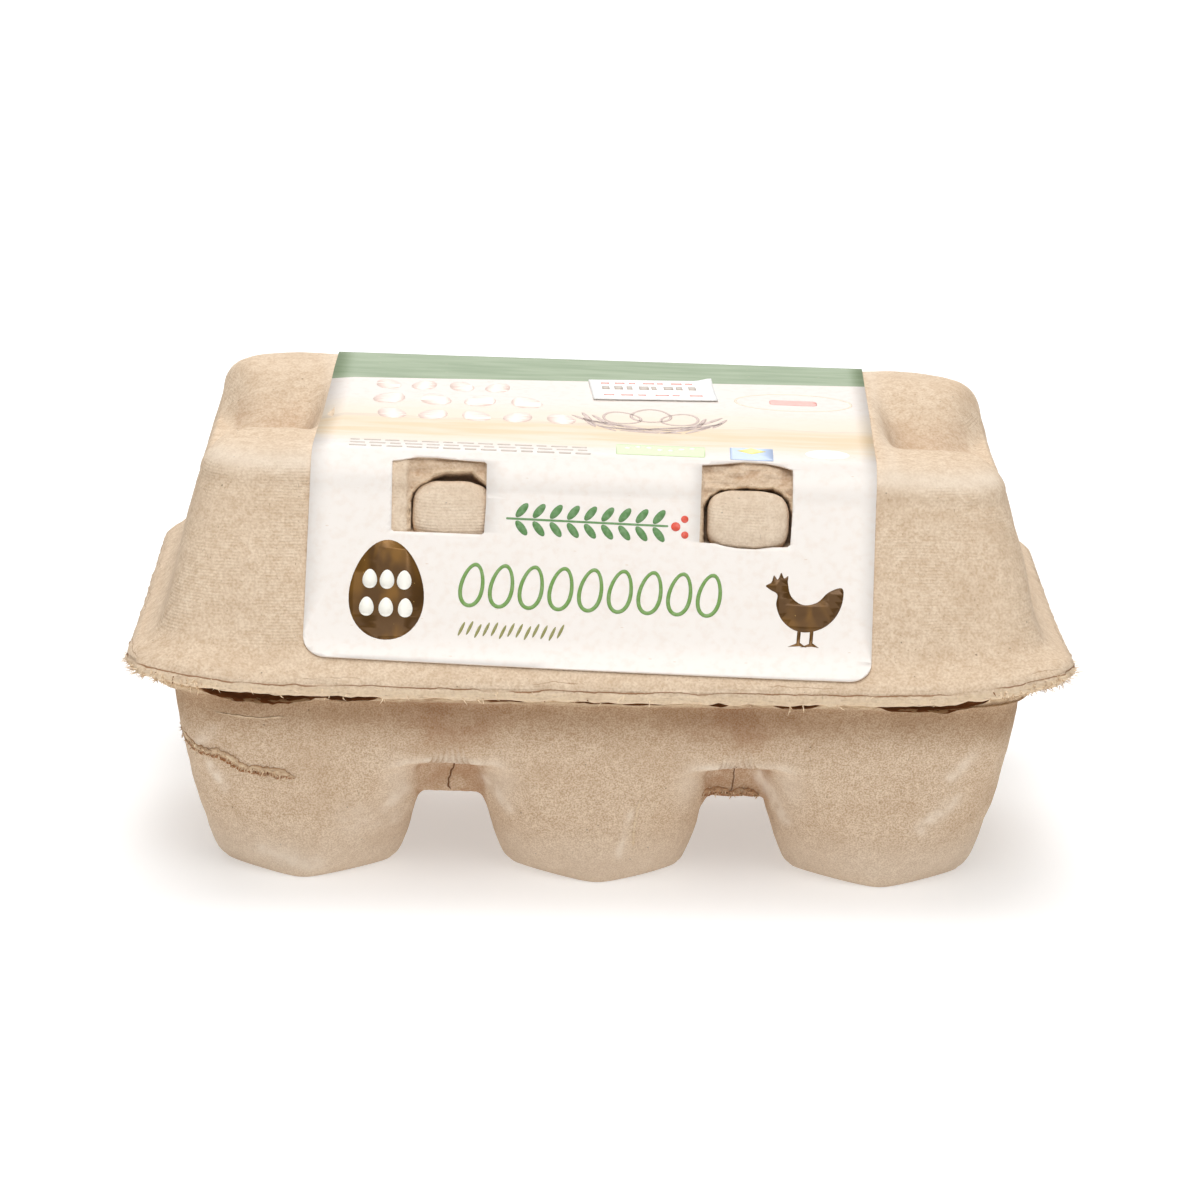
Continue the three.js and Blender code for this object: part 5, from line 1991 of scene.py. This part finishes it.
    def pale_eggs(self, ink: bpy.types.Material) -> None:
        """Prints three rows of pale eggs.

        Args:
            ink: The pale red ink.
        """
        shapes = []
        for row, (level, size, count) in enumerate(((77.5, 5.6, 4), (68.5, 7.0, 4), (58.0, 6.4, 5))):
            for k in range(count):
                at = (-38.0 + row * 0.8 + k * (size + 0.6), level)
                shapes.append(egg(at, size * 0.72, size * 1.1, 14 * (-1) ** (k + row)))
        self.label.print_shapes("print_pale_eggs", shapes, ink)

    def nest(self, ink: bpy.types.Material) -> None:
        """Prints a nest of straws with three outlined eggs in it.

        Args:
            ink: The brown ink.
        """
        straws = []
        for k in range(26):
            angle = math.radians(196 + 148 * (k / 25))
            ring = 11.0 + 1.5 * math.sin(k * 2.4)
            at = (6.5 + ring * math.cos(angle), 63.0 + 0.95 * ring * math.sin(angle))
            straws.append(ellipse(at, (3.3, 0.42), math.degrees(angle) + 90 + 16 * math.sin(k * 1.7), 18))
        self.label.print_shapes("print_nest", straws, ink)
        eggs = [egg((1.6, 60.5), 6.4, 8.6, 18), egg((11.4, 60.5), 6.4, 8.6, -16), egg((6.5, 62.6), 7.0, 9.4)]
        rings = [(shape, (shape - shape.mean(axis=0)) * 0.86 + shape.mean(axis=0)) for shape in eggs]
        self.label.print_shapes("print_nest_eggs", rings, ink, 1)

    def bars(self, ink: bpy.types.Material) -> None:
        """Prints three rows of short plain bars.

        Args:
            ink: The grey ink.
        """
        shapes = []
        for row in range(3):
            x = -42.0
            low = 39.0 - row * 1.9
            for k in range(13):
                size = 1.5 + 1.3 * abs(math.sin(k * 1.9 + row * 2.3))
                shapes.append(block(x, x + size, low, low + 0.75, 0.2, 2))
                x += size + 0.7
        self.label.print_shapes("print_bars", shapes, ink)

    def blocks(self, inks: dict[str, bpy.types.Material]) -> None:
        """Prints the green block with its spots, the blue block with its diamond, and the pale spot.

        Args:
            inks: The inks by name.
        """
        label = self.label
        label.print_shapes("print_green_block", [block(1.0, 15.4, 36.0, 42.5, 0.4)], inks["leaf_pale"])
        spots = []
        for k in range(7):
            spots.append(ellipse((2.8 + 1.75 * k, 40.2 + 0.9 * math.sin(k * 1.3)), (0.5, 0.62), 0, 12))
        label.print_shapes("print_green_spots", spots, inks["cream"], 1)
        label.print_shapes("print_blue_block", [block(19.4, 26.4, 35.6, 43.0, 0.3)], inks["blue"])
        diamond = np.array([(22.9, 39.0), (25.3, 41.0), (22.9, 43.0), (20.5, 41.0)])
        label.print_shapes("print_blue_diamond", [diamond], inks["yellow"], 1)
        label.print_shapes("print_pale_spot", [ellipse((35.2, 40.6), (3.6, 3.1))], inks["cream"])

    def stamp(self, line: bpy.types.Material, bar: bpy.types.Material) -> None:
        """Prints an outlined oval with a bar in it.

        Args:
            line: The ink of the oval.
            bar: The ink of the bar.
        """
        middle = (30.4, 75.0)
        ring = (ellipse(middle, (10.0, 5.6)), ellipse(middle, (9.6, 5.2)))
        self.label.print_shapes("print_stamp", [ring], line)
        self.label.print_shapes("print_stamp_bar", [block(26.4, 34.4, 73.4, 76.4, 0.8)], bar)


@dataclass
class DateSticker:
    """The small white sticker on top of the label, with plain bars for print."""

    lid: Lid
    width: float = 21.0
    depth: float = 12.0
    x: float = 8.4
    y: float = 11.2
    turn: float = 4.0
    low: float = 0.58
    thickness: float = 0.2
    step: float = 0.75

    def place(self, flat: np.ndarray, lift: float) -> np.ndarray:
        """Lays points of the sticker's own frame on the lid's top.

        Args:
            flat: The points.
            lift: Height off the top.

        Returns:
            Points in space.
        """
        at = turned(flat, self.turn) + (self.x, self.y)
        curl = 0.5 * smooth_step(7.5, 10.5, flat[:, 0]) * smooth_step(2.0, 6.0, flat[:, 1])
        return self.lid.form.shut(np.column_stack([at, np.full(len(at), self.lid.form.height) + lift + curl]))

    def build(self, paper: bpy.types.Material, inks: dict[str, bpy.types.Material]) -> None:
        """Builds the sticker and its print.

        Args:
            paper: The white paper.
            inks: The inks by name.
        """
        half_x, half_y = self.width / 2, self.depth / 2
        xs = np.linspace(-half_x, half_x, int(self.width / self.step) + 1)
        ys = np.linspace(-half_y, half_y, int(self.depth / self.step) + 1)
        x, y = (a.ravel() for a in np.meshgrid(xs, ys))
        self.sheet(
            "date_sticker_sheet", np.column_stack([x, y]), quad_grid(len(ys), len(xs)), self.low,
            self.low + self.thickness, paper, ("date_sticker",),
        )
        for name, level, height, gap, ink in (
            ("sticker_bars_top", 3.3, 1.0, 2.4, "pale_red_strong"), ("sticker_bars_middle", -0.2, 2.2, 2.1, "grey"),
            ("sticker_bars_low", -4.0, 0.9, 2.9, "pale_red_strong"),
        ):
            self.bars(name, level, height, gap, inks[ink])

    def bars(self, name: str, level: float, height: float, pitch: float, ink: bpy.types.Material) -> None:
        """Prints one level row of plain bars.

        Args:
            name: The piece's name.
            level: Height of the row on the sticker.
            height: Height of the bars.
            pitch: Distance between two bars.
            ink: Their ink.
        """
        flat, faces = [], []
        for k, x in enumerate(np.arange(-8.6, 8.2, pitch)):
            size = pitch * (0.62 + 0.2 * math.sin(k * 2.7))
            start = len(flat)
            for row in (0, 1):
                flat += [(x + size * i / 3, level + height * row) for i in range(4)]
            faces += (quad_grid(2, 4) + start).tolist()
        top = self.low + self.thickness
        self.sheet(name, np.array(flat), np.array(faces), top - 0.02, top + 0.02, ink)

    def sheet(
        self, name: str, flat: np.ndarray, faces: np.ndarray, low: float, high: float,
        material: bpy.types.Material, replaced: tuple[str, ...] = (),
    ) -> None:
        """Makes a thin closed sheet on the lid's top.

        Args:
            name: The piece's name.
            flat: Points in the sticker's frame.
            faces: Quads between them.
            low: Height of the underside.
            high: Height of the face.
            material: The finish.
            replaced: Nodes it stands for.
        """
        listed = [list(map(int, face)) for face in faces]
        points = np.vstack([self.place(flat, high), self.place(flat, low)])
        Piece(name, Slot.STICKER, material, replaced).add(points, closed_sheet(listed, len(flat)))


@dataclass
class HingeFold:
    """The rolled fold along the back, where lid and tray are one sheet of pulp."""

    form: CartonForm
    half_length: float = 56.0
    height: float = 4.6
    depth: float = 1.7
    around: int = 14
    step: float = 0.8

    def relief(self, points: np.ndarray) -> np.ndarray:
        """Unevenness of the fold, which stays within its solid."""
        return 0.12 * lumps(points, 2.2, 42) - 0.1

    def build(self, material: bpy.types.Material) -> bpy.types.Object:
        """Builds the fold as a long half-round bead with soft ends.

        Args:
            material: The pulp.

        Returns:
            The object.
        """
        xs = np.linspace(-self.half_length, self.half_length, int(2 * self.half_length / self.step) + 1)
        angle = np.linspace(-math.pi / 2, math.pi / 2, self.around)
        wall = self.form.width / 2 - self.depth
        rows = []
        for x in xs:
            end = math.sqrt(max(1 - (abs(x) / self.half_length) ** 24, 0.02))
            y = wall + self.depth * np.cos(angle) * end
            z = self.form.seam + self.height / 2 * np.sin(angle) * (0.6 + 0.4 * end)
            rows.append(np.column_stack([np.full(self.around, x), y, z]))
        points = np.vstack(rows)
        faces = quad_grid(len(xs), self.around, True).tolist()
        last = len(points) - self.around
        faces += [list(range(self.around)), list(range(last, len(points)))]
        masks = {"worn_and_painted_light": 0.5 * np.clip(0.5 * lumps(points, 5, 41) + 0.3, 0, 1)}
        piece = Piece("hinge_fold_pulp", Slot.TRAY, material, ("hinge_fold",))
        return piece.add(points, faces, masks, self.relief)


@dataclass
class Studio:
    """Pale floor, white surroundings, soft lights and the camera."""

    camera_at: tuple[float, float, float] = (-9.615, -827.154, 257.898)
    right: tuple[float, float, float] = (0.99976, -0.00616, 0.02088)
    up: tuple[float, float, float] = (-0.01860, 0.25645, 0.96638)
    back: tuple[float, float, float] = (-0.01131, -0.96654, 0.25627)
    lens: float = 152.13
    floor_half: float = 3.0

    def camera(self) -> None:
        """Puts the camera at the viewing angle."""
        data = bpy.data.cameras.new("camera")
        data.sensor_width = 36
        data.lens = self.lens
        data.clip_end = 50
        made = bpy.data.objects.new("camera", data)
        turn = Matrix((self.right, self.up, self.back)).transposed().to_4x4()
        made.matrix_world = Matrix.Translation(Vector(self.camera_at) * MM) @ turn
        bpy.context.scene.collection.objects.link(made)
        bpy.context.scene.camera = made

    def floor(self) -> None:
        """Makes a plain pale floor."""
        half = self.floor_half
        mesh = bpy.data.meshes.new("floor")
        mesh.from_pydata([(-half, -half, 0), (half, -half, 0), (half, half, 0), (-half, half, 0)], [], [(0, 1, 2, 3)])
        made = bpy.data.objects.new("floor", mesh)
        bpy.context.scene.collection.objects.link(made)
        graph = Graph("floor_paint", 0.9, 0.1)
        graph.shader.inputs["Base Color"].default_value = (0.7, 0.7, 0.7, 1)
        graph.shader.inputs["Emission Color"].default_value = (1, 1, 1, 1)
        graph.shader.inputs["Emission Strength"].default_value = 0.4
        mesh.materials.append(graph.material)

    def light(
        self, name: str, at: tuple[float, float, float], size: float, power: float,
        aim: tuple[float, float, float] = (0, 0, 0.03),
    ) -> None:
        """Adds a soft square light.

        Args:
            name: Its name.
            at: Its place in metres.
            size: Its side in metres.
            power: Its power in watts.
            aim: The point it looks at.
        """
        data = bpy.data.lights.new(name, "AREA")
        data.energy = power
        data.size = size
        made = bpy.data.objects.new(name, data)
        made.location = at
        made.rotation_euler = (Vector(aim) - Vector(at)).to_track_quat("-Z", "Y").to_euler()
        bpy.context.scene.collection.objects.link(made)

    def build(self) -> None:
        """Sets up everything round the carton."""
        self.camera()
        self.floor()
        self.light("top_light", (-0.1, -0.1, 1.7), 1.3, 19)
        self.light("front_light", (0.15, -1.05, 1.35), 0.8, 10.5)
        self.light("back_light", (0.0, 1.5, 0.9), 1.0, 14, (0.0, 1.1, 0.0))
        scene = bpy.context.scene
        scene.view_settings.view_transform = "Standard"
        world = bpy.data.worlds.new("surroundings")
        world.use_nodes = True
        background = world.node_tree.nodes["Background"]
        background.inputs["Color"].default_value = (1, 1, 1, 1)
        background.inputs["Strength"].default_value = 0.2
        scene.world = world


def window_outlines() -> list[Outline]:
    """Outlines of the label's two windows on the lid's sheet, as unevenly cut as they are.

    Returns:
        The two outlines.
    """
    left = np.array([
        (-34.05, 21.2), (-33.6, 20.95), (-26.0, 20.9), (-19.6, 20.8), (-19.2, 21.1), (-18.95, 26.0),
        (-18.95, 32.4), (-19.3, 32.75), (-23.3, 33.0), (-27.0, 33.35), (-30.0, 33.35), (-32.5, 32.7),
        (-34.1, 32.4),
    ])
    right = np.array([
        (15.3, 20.5), (17.8, 20.4), (19.6, 19.95), (21.4, 19.7), (24.3, 19.6), (27.0, 20.0), (29.4, 20.1),
        (29.9, 20.5), (30.2, 26.0), (30.2, 33.1), (28.0, 34.0), (25.8, 34.6), (22.5, 34.85), (19.0, 34.1),
        (15.6, 33.6),
    ])
    return [resample(np.vstack([window, window[:1]]), 0.8)[:-1] for window in (left, right)]


def tears() -> list[Tear]:
    """Lists the damage on the front of the tray.

    Returns:
        A frayed ridge on the left cup, cracks in both niches and a few faint creases.
    """
    ridge = (
        (-68.1, 25.9), (-67.0, 24.6), (-65.9, 23.7), (-65.1, 23.1), (-63.2, 23.0), (-61.2, 22.9),
        (-59.3, 21.8), (-57.8, 20.8), (-55.6, 20.4), (-53.1, 20.1), (-51.0, 19.7), (-49.1, 19.1),
    )
    left_crack = ((-23.1, 21.7), (-23.2, 20.9), (-23.5, 19.6), (-24.3, 17.4), (-24.5, 15.9), (-24.0, 14.8))
    right_crack = ((22.1, 22.6), (22.0, 21.0), (22.2, 18.8), (21.9, 17.0), (21.8, 15.0))
    right_tear = ((17.0, 14.9), (18.5, 15.3), (20.1, 15.4), (21.6, 14.7), (23.6, 15.4), (26.4, 14.5))
    return [
        Tear("tear_left_cup", ridge, 1.7, 0.6, 1, 0.2, brown=1.8, pale=1.3, lump=2.0, fibres=170),
        Tear("crack_left_niche", left_crack, 0.42, 0.02, 2, 0.3, 1.0, pale=0.0),
        Tear("crack_right_niche", right_crack, 0.36, 0.02, 3, 0.25, 0.9, pale=0.0),
        Tear("tear_right_niche", right_tear, 1.7, 0.5, 4, 0.2, brown=1.6, pale=0.35, fibres=60),
        Tear("crease_middle_cup", ((6.8, 16.2), (6.2, 12.3), (5.9, 7.0)), 0.7, 0.12, 5),
        Tear("crease_left_rim", ((-61.9, 30.6), (-57.8, 30.1), (-54.3, 29.9), (-50.6, 30.3)), 0.5, 0.1, 6),
    ]


def main() -> None:
    """Builds the carton and the studio round it."""
    logging.basicConfig(level=logging.INFO, format="%(name)s: %(message)s")
    Studio().build()
    form = CartonForm()
    tray_finish = PulpFinish(
        "pulp_tray", linear(213, 187, 158), linear(186, 154, 122), linear(238, 219, 195), contrast=0.78, coarse=0.2,
        grain=0.26,
    )
    lid_finish = PulpFinish(
        "pulp_lid", linear(218, 194, 167), linear(194, 166, 136), linear(237, 218, 194), screen_depth=0.22,
    )
    tray = Tray(form)
    tray_pulp = tray.build(tray_finish).data.materials[0]
    for tear in tears():
        tear.build(tray, tray_pulp)
    lid = Lid(form)
    recesses = [
        LatchRecess("latch_recess_left", -34.0, -19.1, 20.9, 33.4, LEFT_TEAR, 3, step_x=-31.9),
        LatchRecess("latch_recess_right", 15.3, 30.2, 19.9, 34.9, RIGHT_TEAR, 8),
    ]
    lid_object = lid.build(lid_finish, recesses)
    pulp = lid_object.data.materials[0]
    for recess in recesses:
        recess.build(lid, pulp)
    Knob("latch_left_knob", "latch_left", -30.8, -17.9, 19.4, 29.7, 0.0).build(lid, pulp)
    Knob("latch_right_knob", "latch_right", 16.5, 29.7, 19.5, 29.5, 0.9).build(lid, pulp)
    label = Label(lid)
    label.build(PaperFinish(), window_outlines())
    inks = {
        name: InkFinish(f"ink_{name}", colour).make() for name, colour in (
            ("green", linear(118, 158, 82)), ("olive", linear(150, 148, 88)), ("leaf", linear(96, 142, 84)),
            ("berry", linear(226, 84, 62)), ("pale_red", linear(251, 226, 214)), ("brown", linear(205, 182, 172)),
            ("grey", linear(198, 184, 172)), ("leaf_pale", linear(208, 228, 176)), ("cream", linear(253, 250, 240)),
            ("blue", linear(190, 208, 238)), ("yellow", linear(248, 236, 138)), ("ochre", linear(240, 222, 198)),
            ("pale_red_strong", linear(238, 168, 158)),
        )
    }
    prints = LabelPrint(label)
    prints.foil(FoilFinish().make(), inks["cream"])
    prints.egg_row(inks["green"])
    prints.grains(inks["olive"])
    prints.sprig(inks["leaf"], inks["berry"])
    prints.top_fields(inks)
    sticker_paper = InkFinish("sticker_paper", linear(252, 251, 248), roughness=0.45).make()
    DateSticker(lid).build(sticker_paper, inks)
    HingeFold(form).build(tray_pulp)
    bpy.context.view_layer.update()


if __name__ == "__main__":
    main()
